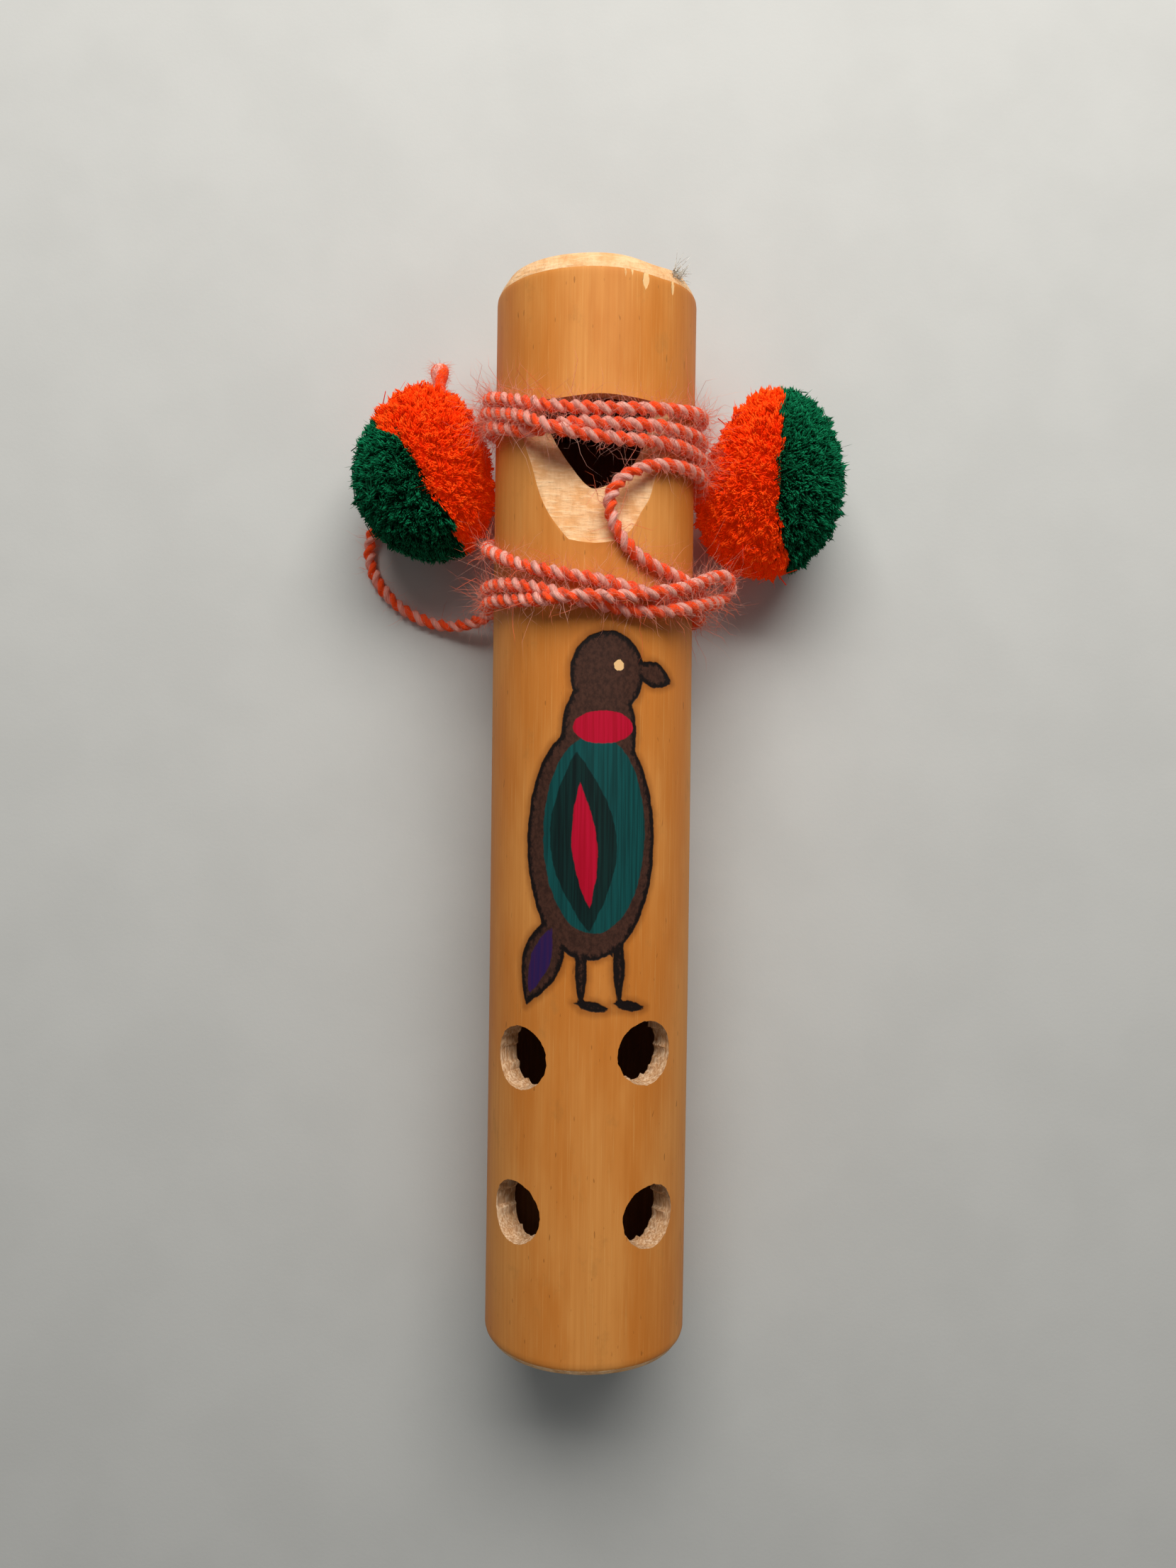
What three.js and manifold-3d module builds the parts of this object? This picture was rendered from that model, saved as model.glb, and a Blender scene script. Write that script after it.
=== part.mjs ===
// A souvenir bamboo whistle: a varnished bamboo tube with a wooden fipple plug,
// a cut window, four finger holes, and a wool cord with a pompom on each end
// wound round it. Units are millimetres. The tube's axis is Y, with the mouth
// end at +Y, and the window faces +Z. The origin is the middle of the tube.

import * as THREE from 'three';
import { mergeVertices } from 'three/addons/utils/BufferGeometryUtils.js';
import Module from 'manifold-3d';

const wasm = await Module();
wasm.setup();

// ---------------------------------------------------------------- dimensions

const GAP = 0.3;                    // clearance between pieces that touch
const ROUND = 64;                   // segments round the tube

// bamboo tube
const TUBE_LENGTH = 147;
const TUBE_RADIUS = 14;
const MOUTH_Y = TUBE_LENGTH / 2;
const FOOT_Y = -TUBE_LENGTH / 2;
const BORE_RADIUS_HEAD = 11.85;
const BORE_RADIUS_FOOT = 10.6;
const BORE_TAPER_FROM_Y = 38;       // the bore is straight from here to the mouth
const MOUTH_CHAMFER = { radial: 1.4, axial: 2.3 };
const FOOT_CHAMFER = { radial: 0.7, axial: 0.9 };

// the culm's own node, which closes the foot end
const NODE_INNER_Y = -64.3;
const NODE_OUTER_Y = -67.3;
const NODE_FILLET = 1.4;
const FOOT_RECESS_RADIUS = 10.4;

// window: a saw cut across the tube, and a ramp cut down to it
const WINDOW_SAW_Y = 54.7;
const RAMP_TIP_Y = 34.4;
const RAMP_SLOPE = 0.24;

// fipple plug
const WINDWAY_HEIGHT = 2.1;
const PLUG_RADIUS = BORE_RADIUS_HEAD - GAP;
const PLUG_INNER_Y = WINDOW_SAW_Y + GAP;
const PLUG_FLAT_Z = BORE_RADIUS_HEAD - WINDWAY_HEIGHT;

// finger holes, drilled square to the tube; angle is from +Z towards +X
const HOLE_RADIUS = 4.25;
const FINGER_HOLES = [
  { angle: -40.5, y: -32.1 },
  { angle: 33.8, y: -31.0 },
  { angle: -43.3, y: -53.0 },
  { angle: 38.1, y: -53.0 },
];

// wool cord
const CORD_RADIUS = 1.0;
const CORD_SIDES = 8;
const CORD_STEP = 2 * 2 * CORD_RADIUS;           // two diameters
const WRAP_RADIUS = TUBE_RADIUS + CORD_RADIUS + 0.4;
const WINDING_INNER = TUBE_RADIUS + GAP;
const WINDING_OUTER = TUBE_RADIUS + 2.2;
const UPPER_WINDING = { from: 47.9, to: 59.6 };
const LOWER_WINDING = { from: 25.7, to: 33.4 };

// Stretches of the cord that lie on the tube, as [angle, y, radius] points.
const ON_TUBE = WRAP_RADIUS;
const FRONT_LOOP = [
  [16.5, 35.0, ON_TUBE], [13.9, 35.8, ON_TUBE], [8.5, 37.6, ON_TUBE], [4.9, 39.5, ON_TUBE],
  [4.1, 41.2, ON_TUBE], [6.8, 43.1, ON_TUBE], [13.0, 44.5, ON_TUBE], [22.2, 45.5, ON_TUBE],
  [32.6, 46.1, ON_TUBE], [52.2, 46.3, ON_TUBE], [84.6, 46.2, ON_TUBE], [110, 45.4, ON_TUBE],
  [140, 42.8, ON_TUBE], [180, 38.8, ON_TUBE], [200, 36.6, ON_TUBE], [212, 35.2, ON_TUBE],
];
const BACK_RUN = [
  [147, 46.2, ON_TUBE], [163, 44.9, ON_TUBE], [180, 43.6, ON_TUBE], [215, 41.0, ON_TUBE],
  [250, 38.8, ON_TUBE], [275, 37.0, ON_TUBE], [292, 35.8, ON_TUBE], [302, 35.0, ON_TUBE],
];
// Stretches that leave the tube, as [x, y, z] points.
const LEFT_TAIL = [
  [-15.6, 29.3, -9.9], [-17.2, 28.6, -10.2], [-19.6, 27.9, -11.8], [-21.9, 27.7, -13.8],
  [-24.5, 28.0, -14.95], [-27.5, 29.2, -15.0], [-30.5, 31.0, -15.05], [-33.4, 34.2, -15.1],
  [-34.9, 37.3, -15.2], [-34.9, 40.8, -15.25], [-34.0, 42.9, -15.1], [-32.9, 44.2, -14.7],
];
const RIGHT_TAIL = [
  [16.7, 53.2, -13.4], [15.2, 54.4, -13.2], [13.2, 55.6, -12.3],
];
const RIGHT_BIGHT = [
  [16.9, 32.7, 5.2], [18.4, 33.7, 4.6], [19.9, 33.7, 2.6], [20.4, 32.4, 0.2],
  [19.4, 31.0, -1.8], [17.7, 30.2, -2.6],
];

// pompoms: each is a bundle of orange wool and a bundle of green wool, tied
// together across the middle by the end of the cord
const TABLE_Z = -16.5;
const POMPOM_HEIGHT = 22;
const POMPOM_CLEAR_RADIUS = WINDING_OUTER + 0.5; // how near a pompom comes to the tube's axis
const TIE_RADIUS = 2.2;
const POMPOMS = {
  left: { x: -25.1, y: 48.9, width: 21.6, length: 24.4, orangeTowards: [0.8, 0.6] },
  right: { x: 25.7, y: 48.5, width: 21.7, length: 26.8, orangeTowards: [-1, 0] },
};
const POMPOM_Z = TABLE_Z + POMPOM_HEIGHT / 2;

// the end of the cord that stands out of the left pompom
const CORD_END = { x: -22.5, z: -4, from: 61.0, to: 64.6, radius: 1.25 };

// ----------------------------------------------------------------- materials

const finish = (color, roughness) => new THREE.MeshStandardMaterial({ color, roughness, metalness: 0 });
const FINISHES = {
  bamboo: { color: 0xc8873f, roughness: 0.42 },
  plug: { color: 0x8a5a34, roughness: 0.75 },
  cord: { color: 0xf4764a, roughness: 0.95 },
  orange: { color: 0xff4a10, roughness: 1.0 },
  green: { color: 0x0b6b45, roughness: 1.0 },
};

const model = new THREE.Group();
model.name = 'bamboo_whistle';

function addPiece(name, geometry, finishName) {
  const { color, roughness } = FINISHES[finishName];
  const mesh = new THREE.Mesh(geometry, finish(color, roughness));
  mesh.name = name;
  model.add(mesh);
}

// ---------------------------------------------------------- solid operations

function toSolid(geometry) {
  const bare = geometry.clone();
  bare.deleteAttribute('normal');
  bare.deleteAttribute('uv');
  const merged = mergeVertices(bare, 1e-4);
  const mesh = new wasm.Mesh({
    numProp: 3,
    vertProperties: new Float32Array(merged.attributes.position.array),
    triVerts: new Uint32Array(merged.index.array),
  });
  mesh.merge();
  return new wasm.Manifold(mesh);
}

function toGeometry(solid) {
  const { vertProperties, triVerts } = solid.getMesh();
  const geometry = new THREE.BufferGeometry();
  geometry.setAttribute('position', new THREE.BufferAttribute(new Float32Array(vertProperties), 3));
  geometry.setIndex(new THREE.BufferAttribute(new Uint32Array(triVerts), 1));
  geometry.computeVertexNormals();
  return geometry;
}

const lathe = (profile, segments = ROUND) => new THREE.LatheGeometry(
  profile.map(([radius, y]) => new THREE.Vector2(radius, y)),
  segments,
);

// A point on a cylinder round the tube's axis, from its angle in degrees.
function onCylinder([angle, y, radius]) {
  const turn = THREE.MathUtils.degToRad(angle);
  return new THREE.Vector3(radius * Math.sin(turn), y, radius * Math.cos(turn));
}

const inSpace = ([x, y, z]) => new THREE.Vector3(x, y, z);

// -------------------------------------------------------------------- bamboo

function tubeBlank() {
  const rimRadius = TUBE_RADIUS - MOUTH_CHAMFER.radial;
  const footRadius = TUBE_RADIUS - FOOT_CHAMFER.radial;
  return lathe([
    [0, NODE_OUTER_Y],
    [FOOT_RECESS_RADIUS - NODE_FILLET, NODE_OUTER_Y],
    [FOOT_RECESS_RADIUS, NODE_OUTER_Y - NODE_FILLET],
    [FOOT_RECESS_RADIUS, FOOT_Y],
    [footRadius, FOOT_Y],
    [TUBE_RADIUS, FOOT_Y + FOOT_CHAMFER.axial],
    [TUBE_RADIUS, MOUTH_Y - MOUTH_CHAMFER.axial],
    [rimRadius, MOUTH_Y],
    [BORE_RADIUS_HEAD, MOUTH_Y],
    [BORE_RADIUS_HEAD, BORE_TAPER_FROM_Y],
    [BORE_RADIUS_FOOT, NODE_INNER_Y + NODE_FILLET],
    [BORE_RADIUS_FOOT - NODE_FILLET, NODE_INNER_Y],
    [0, NODE_INNER_Y],
  ]);
}

// Everything above the ramp's plane, as far as the saw cut.
function windowCutter() {
  const above = TUBE_RADIUS + 6;
  const startZ = TUBE_RADIUS + 2;
  const startY = RAMP_TIP_Y - (startZ - TUBE_RADIUS) / RAMP_SLOPE;
  const sawZ = TUBE_RADIUS - RAMP_SLOPE * (WINDOW_SAW_Y - RAMP_TIP_Y);
  const side = new THREE.Shape([
    new THREE.Vector2(startY, startZ),
    new THREE.Vector2(WINDOW_SAW_Y, sawZ),
    new THREE.Vector2(WINDOW_SAW_Y, above),
    new THREE.Vector2(startY, above),
  ]);
  const width = 2 * TUBE_RADIUS;
  const cutter = new THREE.ExtrudeGeometry(side, { depth: width, bevelEnabled: false });
  cutter.translate(0, 0, -width / 2);
  cutter.applyMatrix4(new THREE.Matrix4().makeBasis(
    new THREE.Vector3(0, 1, 0),
    new THREE.Vector3(0, 0, 1),
    new THREE.Vector3(1, 0, 0),
  ));
  return cutter;
}

function fingerHoleCutter({ angle, y }) {
  const depth = TUBE_RADIUS + 4;
  const cutter = new THREE.CylinderGeometry(HOLE_RADIUS, HOLE_RADIUS, depth, 40);
  cutter.translate(0, depth / 2, 0);
  cutter.rotateX(Math.PI / 2);
  cutter.rotateY(THREE.MathUtils.degToRad(angle));
  cutter.translate(0, y, 0);
  return cutter;
}

function bambooBody() {
  const cutters = [windowCutter(), ...FINGER_HOLES.map(fingerHoleCutter)];
  const body = cutters.reduce((solid, cutter) => solid.subtract(toSolid(cutter)), toSolid(tubeBlank()));
  return toGeometry(body);
}

// --------------------------------------------------------------- fipple plug

// A round wooden plug with a flat top, which leaves the windway above it.
function fipplePlug() {
  const halfFlat = Math.asin(PLUG_FLAT_Z / PLUG_RADIUS);
  const section = new THREE.Shape();
  section.absarc(0, 0, PLUG_RADIUS, Math.PI - halfFlat, 2 * Math.PI + halfFlat, false);
  section.closePath();
  const length = MOUTH_Y - PLUG_INNER_Y;
  const plug = new THREE.ExtrudeGeometry(section, { depth: length, bevelEnabled: false, curveSegments: 48 });
  plug.rotateX(Math.PI / 2);
  plug.translate(0, MOUTH_Y, 0);
  return plug;
}

// ---------------------------------------------------------------------- cord

function windingRing({ from, to }) {
  const edge = (WINDING_OUTER - WINDING_INNER) / 3;
  const profile = [
    [WINDING_INNER, from + edge],
    [WINDING_INNER + edge, from],
    [WINDING_OUTER - edge, from],
    [WINDING_OUTER, from + edge],
    [WINDING_OUTER, to - edge],
    [WINDING_OUTER - edge, to],
    [WINDING_INNER + edge, to],
    [WINDING_INNER, to - edge],
  ];
  return lathe([...profile, profile[0]]);
}

function cordTube(points, radius = CORD_RADIUS) {
  const route = new THREE.CatmullRomCurve3(points, false, 'centripetal');
  const section = new THREE.Shape();
  for (let side = 0; side < CORD_SIDES; side += 1) {
    const turn = (side / CORD_SIDES) * 2 * Math.PI;
    const corner = new THREE.Vector2(radius * Math.cos(turn), radius * Math.sin(turn));
    if (side === 0) section.moveTo(corner.x, corner.y);
    else section.lineTo(corner.x, corner.y);
  }
  section.closePath();
  const steps = Math.max(4, Math.round(route.getLength() / CORD_STEP));
  return new THREE.ExtrudeGeometry(section, { steps, bevelEnabled: false, extrudePath: route });
}

function cordEnd({ x, z, from, to, radius }) {
  const end = lathe([
    [0, from],
    [0.7 * radius, from],
    [radius, from + 0.3 * radius],
    [radius, to - 0.7 * radius],
    [0.7 * radius, to - 0.2 * radius],
    [0, to],
  ], 12);
  end.translate(x, 0, z);
  return end;
}

// ------------------------------------------------------------------- pompoms

function pompomBlank({ x, y, width, length }) {
  const ball = new THREE.SphereGeometry(1, 36, 24);
  ball.scale(width / 2, length / 2, POMPOM_HEIGHT / 2);
  ball.translate(x, y, POMPOM_Z);
  const keepClear = new THREE.CylinderGeometry(POMPOM_CLEAR_RADIUS, POMPOM_CLEAR_RADIUS, 2 * length, ROUND);
  keepClear.translate(0, y, 0);
  return toSolid(ball).subtract(toSolid(keepClear));
}

// One bundle of wool: the half of the pompom on one side of the tie.
function woolBundle(pompom, towards) {
  const { x, y } = pompom;
  const size = 60;
  const half = new THREE.BoxGeometry(size, size, size);
  half.translate(size / 2 + GAP / 2, 0, 0);
  half.rotateZ(Math.atan2(towards[1], towards[0]));
  half.translate(x, y, POMPOM_Z);
  const dent = new THREE.SphereGeometry(TIE_RADIUS + GAP, 20, 14);
  dent.translate(x, y, POMPOM_Z);
  return toGeometry(pompomBlank(pompom).intersect(toSolid(half)).subtract(toSolid(dent)));
}

// The knot that ties the two bundles together.
function pompomTie({ x, y }) {
  const tie = new THREE.SphereGeometry(TIE_RADIUS, 16, 12);
  tie.translate(x, y, POMPOM_Z);
  return toGeometry(toSolid(tie));
}

// ------------------------------------------------------------------ assembly

addPiece('bamboo_body', bambooBody(), 'bamboo');
addPiece('fipple_plug', fipplePlug(), 'plug');
addPiece('cord_upper_winding', windingRing(UPPER_WINDING), 'cord');
addPiece('cord_lower_winding', windingRing(LOWER_WINDING), 'cord');
addPiece('cord_front_loop', cordTube(FRONT_LOOP.map(onCylinder)), 'cord');
addPiece('cord_back_run', cordTube(BACK_RUN.map(onCylinder)), 'cord');
addPiece('cord_right_bight', cordTube(RIGHT_BIGHT.map(inSpace)), 'cord');
addPiece('cord_left_tail', cordTube(LEFT_TAIL.map(inSpace)), 'cord');
addPiece('cord_right_tail', cordTube(RIGHT_TAIL.map(inSpace)), 'cord');
addPiece('cord_left_end', cordEnd(CORD_END), 'cord');

for (const [side, pompom] of Object.entries(POMPOMS)) {
  const [towardsX, towardsY] = pompom.orangeTowards;
  addPiece(`pompom_${side}_orange`, woolBundle(pompom, [towardsX, towardsY]), 'orange');
  addPiece(`pompom_${side}_green`, woolBundle(pompom, [-towardsX, -towardsY]), 'green');
  addPiece(`pompom_${side}_tie`, pompomTie(pompom), 'cord');
}

export default model;
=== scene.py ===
"""A souvenir bamboo whistle: a varnished bamboo tube with a fipple plug, a window, four finger
holes and a burnt and painted bird, and a two-ply wool cord with a pompom on each end.

Lengths in the tables below are millimetres. The tube's axis is Y, the mouth is at +Y and the
window faces +Z. Every object is made in metres, in place, with its origin at the scene's origin.
"""

import math

import bpy
import numpy as np
from mathutils import Matrix, Vector, kdtree


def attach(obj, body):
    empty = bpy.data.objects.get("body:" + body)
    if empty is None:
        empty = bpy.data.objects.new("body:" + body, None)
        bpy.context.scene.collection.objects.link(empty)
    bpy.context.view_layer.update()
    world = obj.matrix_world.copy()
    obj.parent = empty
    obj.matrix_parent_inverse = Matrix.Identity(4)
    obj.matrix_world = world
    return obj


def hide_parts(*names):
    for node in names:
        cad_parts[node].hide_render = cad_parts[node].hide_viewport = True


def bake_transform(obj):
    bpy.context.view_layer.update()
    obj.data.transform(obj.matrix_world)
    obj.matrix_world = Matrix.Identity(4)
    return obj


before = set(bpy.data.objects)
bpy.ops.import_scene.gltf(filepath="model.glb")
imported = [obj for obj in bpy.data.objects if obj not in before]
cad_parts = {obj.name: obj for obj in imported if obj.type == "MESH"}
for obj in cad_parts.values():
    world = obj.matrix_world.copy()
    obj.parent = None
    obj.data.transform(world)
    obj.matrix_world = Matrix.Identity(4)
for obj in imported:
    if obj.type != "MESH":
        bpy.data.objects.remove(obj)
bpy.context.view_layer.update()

MM = 0.001
RANDOM_SEED = 11

# ------------------------------------------------------------------ sizes

TUBE_RADIUS = 14.0
MOUTH_Y = 73.5
FOOT_Y = -73.5
BORE_RADIUS_HEAD = 11.85
BORE_RADIUS_FOOT = 10.6
BORE_TAPER_FROM_Y = 38.0
MOUTH_CHAMFER_RADIAL = 1.4
MOUTH_CHAMFER_AXIAL = 2.3
FOOT_CHAMFER_RADIAL = 0.7
FOOT_CHAMFER_AXIAL = 0.9
NODE_INNER_Y = -64.3
NODE_OUTER_Y = -67.3
NODE_FILLET = 1.4
FOOT_RECESS_RADIUS = 10.4
WALL_STEP = 0.6                 # ring spacing on the outer wall, fine enough to carry the painting
TUBE_STEPS = 192

WINDOW_SAW_Y = 54.7
RAMP_TIP_Y = 34.4
RAMP_SLOPE = 0.24
RAMP_STOP_Y = 35.9              # the knife stopped short, so the ramp's lower end is blunt
BORE_WANDER = 0.95              # the bore leans to one side by this much under the window
BORE_WANDER_Y = 46
BORE_WANDER_REACH = 5.5
HOLE_RADIUS = 4.25
FINGER_HOLES = [(-40.5, -32.1), (33.8, -31.0), (-43.3, -53.0), (38.1, -53.0)]   # angle, y

PLUG_RADIUS = 11.55
PLUG_INNER_Y = 55.0
PLUG_FLAT_Z = 9.75
PLUG_SET_BACK = 0.15
PLUG_FLAT_SLOPE = 0.012

TABLE_TILT = 0.0208             # the tube lies on its foot's rim and on the lower winding
TABLE_AT_FOOT_Z = -14.0

CORD_DIAMETER = 1.9
PLY_RADIUS = 0.60
PLY_OFFSET = 0.36
TWIST_LENGTH = 3.0              # one full turn of the two plies
ON_TUBE = 15.0                  # radius of a pass that lies on the bamboo
ON_CORD = 16.8                  # radius of a pass that crosses over another

# ------------------------------------------------------------------ camera

CAMERA_PLACE = (-0.40, 7.74, 166.9)
CAMERA_LENS = 27.07
CAMERA_ROLL = 0.0129


def add_camera():
    data = bpy.data.cameras.new("camera")
    data.lens = CAMERA_LENS
    data.sensor_width = 36
    data.clip_start = 0.005
    data.clip_end = 20
    camera = bpy.data.objects.new("camera", data)
    bpy.context.scene.collection.objects.link(camera)
    turn = Matrix.Rotation(-TABLE_TILT, 4, "X") @ Matrix.Rotation(CAMERA_ROLL, 4, "Z")
    camera.matrix_world = Matrix.Translation(Vector(CAMERA_PLACE) * MM) @ turn
    bpy.context.scene.camera = camera


add_camera()

# ------------------------------------------------------------------ cord route

# The cord is one length of wool. Where it lies on the tube each point is (angle, y, radius): the
# angle is in degrees from +Z towards +X, and goes on past 360 from one turn to the next. Off the
# tube, in FROM_RIGHT_POMPOM, RIGHT_BIGHT and TO_LEFT_POMPOM, each point is (x, y, z).
FROM_RIGHT_POMPOM = [(25.7, 48.5, -5.5), (24.6, 50.6, -9.6), (21.0, 52.2, -12.4), (16.7, 53.6, -13.4)]
UPPER_WINDING = [
    (141, 55.8, 17.0), (156, 57.2, 15.4), (170, 58.0, 15), (180, 58.3, 15), (225, 58.6, 15), (250, 58.4, 15),
    (275, 57.7, 15), (303.4, 55.8, 15), (316.8, 54.8, 15), (325.9, 53.9, 15), (339, 53.2, 15),
    (351, 52.8, 15), (363, 52.6, 15), (381, 52.95, 15), (393, 53.35, 15), (408.5, 53.95, 15),
    (418.8, 54.3, 15), (444, 55.4, 15),
    (480, 55.7, 15), (540, 55.9, 15), (570, 55.5, 15), (600, 54.8, 15), (635, 53.8, 15),
    (668, 51.5, 15), (677, 50.7, 15), (687, 50.35, 15), (694.5, 50.6, 15), (703, 51.0, 15),
    (711, 51.0, 15), (717, 50.85, 15), (730.4, 50.75, 15), (748, 51.15, 15), (769, 51.3, 15),
    (790, 51.45, 15), (804.6, 51.9, 15),
    (840, 52.6, 15), (900, 53.3, 15), (922, 53.7, 16.0), (945, 54.5, 16.9), (970, 55.4, 16.9),
    (995, 55.9, 15.5), (1023.6, 53.7, 15), (1040.4, 52.6, 15.6), (1045.3, 51.7, 16.2),
    (1050.5, 51.1, 16.6), (1056.4, 50.4, 16.8), (1062.1, 49.9, 16.6), (1067.2, 49.6, 16.3),
    (1075, 49.3, 15.8), (1086.9, 48.9, 15.1), (1101.5, 48.95, 15), (1124.4, 49.25, 15),
    (1151.8, 49.1, 15), (1164.4, 49.1, 15),
]
LOWER_WINDING = [
    (1190, 48.6, 15), (1220, 47.0, 15), (1243, 44.9, 15), (1260, 43.6, 15), (1295, 41.0, 15),
    (1330, 38.8, 15), (1355, 37.0, 15), (1372, 35.8, 15), (1382, 35.0, 15), (1397.3, 33.3, 15),
    (1407, 32.7, 15), (1415, 32.15, 15), (1422.5, 31.75, 15), (1429.9, 31.4, 15), (1440.8, 31.0, 15),
    (1450.7, 30.45, 15), (1459.9, 29.9, 15), (1470, 29.2, 15), (1485, 28.4, 15), (1500, 27.9, 15),
    (1530, 27.5, 15), (1560, 27.6, 15), (1620, 28.1, 15), (1680, 28.6, 15), (1715, 29.2, 15),
    (1738.7, 28.95, 15), (1750.9, 28.65, 15), (1760.5, 28.5, 15), (1769.4, 28.45, 15.6),
    (1777.4, 28.5, 16.4), (1783.7, 28.65, ON_CORD), (1791.2, 28.65, ON_CORD), (1798.3, 28.5, ON_CORD),
    (1807.3, 28.4, ON_CORD), (1820.7, 28.85, ON_CORD), (1828, 29.25, ON_CORD), (1836.1, 29.6, ON_CORD),
    (1845.4, 30.2, ON_CORD), (1852.9, 31.1, ON_CORD),
]
RIGHT_BIGHT = [
    (15.6, 32.5, 4.4), (16.8, 33.7, 3.6), (18.2, 34.1, 2.5), (19.7, 33.6, 0.9), (20.4, 32.4, -0.8),
    (20.0, 31.2, -1.9), (18.8, 30.4, -1.4), (17.3, 29.9, 0.4),
]
BACK_ROUND_AND_UP = [
    (76, 29.5, 17.0), (61.5, 28.8, 16.9), (49.2, 27.9, ON_CORD), (39.2, 27.1, 16.7), (29, 26.8, 16.1),
    (22.9, 26.75, 15.4), (16, 26.95, 15), (8.4, 27.4, 15), (1, 27.9, 15), (-7, 28.2, 15), (-15, 28.5, 15),
    (-19.5, 29.0, 15), (-24.9, 29.7, 15), (-31.9, 30.2, 15), (-42.6, 30.7, 15), (-56.7, 31.1, 15),
    (-75.9, 31.3, 15), (-110, 30.9, 15), (-140, 30.7, 15), (-180, 30.6, 15), (-220, 30.6, 15),
    (-250, 30.6, 15), (-270, 30.6, 15), (-290, 30.9, 15), (-305.4, 31.6, 15), (-318.4, 32.3, 15),
    (-327.8, 32.8, 15), (-332.4, 33.15, 15), (-337.6, 33.7, 15), (-342.9, 34.5, 15), (-346.1, 35.8, 15),
    (-351.5, 37.6, 15), (-355.1, 39.5, 15), (-355.9, 41.2, 15),
]
FRONT_LOOP_TOP = [
    (6.9, 43.1, 15), (13.2, 44.5, 15), (21.7, 45.6, 15), (27.6, 46.15, 15), (33.5, 46.4, 15),
    (44.6, 46.5, 15), (55.1, 46.7, 15), (72.4, 46.8, 15), (84.6, 46.5, 15), (110, 45.4, 15),
    (140, 42.8, 15), (180, 38.8, 15), (200, 36.6, 15), (209, 35.3, 15.3), (216, 33.8, 16.3),
    (225, 31.4, 17.1), (234, 29.6, 17.5),
]
TO_LEFT_POMPOM = [
    (-15.9, 28.9, -10.6), (-17.6, 28.2, -11.9), (-19.6, 27.7, -13.4), (-21.9, 27.6, -14.8),
    (-24.5, 28.0, -15.1), (-27.5, 29.2, -15.15), (-30.5, 31.0, -15.2), (-33.3, 34.2, -15.25),
    (-34.8, 37.3, -15.3), (-34.9, 40.6, -15.35), (-34.1, 42.9, -15.2), (-32.9, 44.4, -14.7),
    (-30.6, 46.8, -12.6), (-27.6, 48.4, -8.8), (-25.1, 48.9, -5.5),
]


def table_height(y):
    """The table's height under the tube, in millimetres."""
    return TABLE_AT_FOOT_Z - TABLE_TILT * (y - FOOT_Y)


def round_tube(points):
    """(angle, y, radius) to (x, y, z)."""
    turn = np.radians([p[0] for p in points])
    y = np.array([p[1] for p in points], float)
    radius = np.array([p[2] for p in points], float)
    return np.stack([radius * np.sin(turn), y, radius * np.cos(turn)], axis=1)


def along_tube(points):
    """Fills in points a few degrees apart, so that a straight line between two can't cut the tube."""
    angle = np.array([p[0] for p in points], float)
    travelled = np.concatenate([[0], np.cumsum(np.abs(np.diff(angle)) + 1e-3)])
    even = np.linspace(0, travelled[-1], int(travelled[-1] / 4) + 2)
    filled = [np.interp(even, travelled, [p[k] for p in points]) for k in range(3)]
    return round_tube(list(zip(*filled)))


def even_steps(points, step):
    """The same line with its points a step apart."""
    travelled = np.concatenate([[0], np.cumsum(np.linalg.norm(np.diff(points, axis=0), axis=1))])
    even = np.linspace(0, travelled[-1], int(round(travelled[-1] / step)) + 1)
    return np.stack([np.interp(even, travelled, points[:, k]) for k in range(3)], axis=1)


def smoothed(points, rounds):
    """Rounds off the corners of a line and keeps its two ends."""
    line = points.copy()
    for _ in range(rounds):
        line[1:-1] += 0.5 * (0.5 * (line[:-2] + line[2:]) - line[1:-1])
    return line


def settle(points, rounds=90):
    """Lets the passes push each other, the tube and the table away, for a set number of rounds."""
    line = points.copy()
    index = np.arange(len(line))
    other_pass = np.abs(index[:, None] - index[None, :]) > 5
    room = 0.97 * CORD_DIAMETER
    for _ in range(rounds):
        apart = line[:, None] - line[None]
        distance = np.linalg.norm(apart, axis=2) + 1e-9
        short = np.where(other_pass, np.maximum(room - distance, 0), 0)
        line += 0.35 * (apart * (short / distance)[..., None]).sum(axis=1)
        line[1:-1] += 0.12 * (0.5 * (line[:-2] + line[2:]) - line[1:-1])
        line += 0.02 * (points - line)
        radius = np.hypot(line[:, 0], line[:, 2])
        outward = np.maximum(ON_TUBE / np.maximum(radius, 1e-6), 1)
        line[:, 0] *= outward
        line[:, 2] *= outward
        line[:, 2] = np.maximum(line[:, 2], table_height(line[:, 1]) + CORD_DIAMETER / 2)
    return line


SETTLE_STEP = 1.0
RING_STEP = 0.25


def cord_line():
    """The whole cord's centreline, from the right pompom's tie to the left one's."""
    route = np.concatenate([
        np.array(FROM_RIGHT_POMPOM),
        along_tube(UPPER_WINDING + LOWER_WINDING),
        np.array(RIGHT_BIGHT),
        along_tube(BACK_ROUND_AND_UP),
        along_tube(FRONT_LOOP_TOP),
        np.array(TO_LEFT_POMPOM),
    ])
    route = smoothed(even_steps(route, SETTLE_STEP), 3)
    route = settle(even_steps(route, SETTLE_STEP))
    return even_steps(smoothed(even_steps(route, RING_STEP), 12), RING_STEP)


CORD = cord_line()
LEFT_OF_TUBE_X = -15.9
TUBE_BOTTOM = int(np.argmax((CORD[:, 0] < -3) & (CORD[:, 2] < -14)))     # the first pass under the tube
TAIL_LEAVES = int(np.nonzero(CORD[:, 0] > LEFT_OF_TUBE_X)[0][-1])       # the last point on the tube

# ------------------------------------------------------------------ materials

RNG = np.random.default_rng(RANDOM_SEED)


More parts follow.
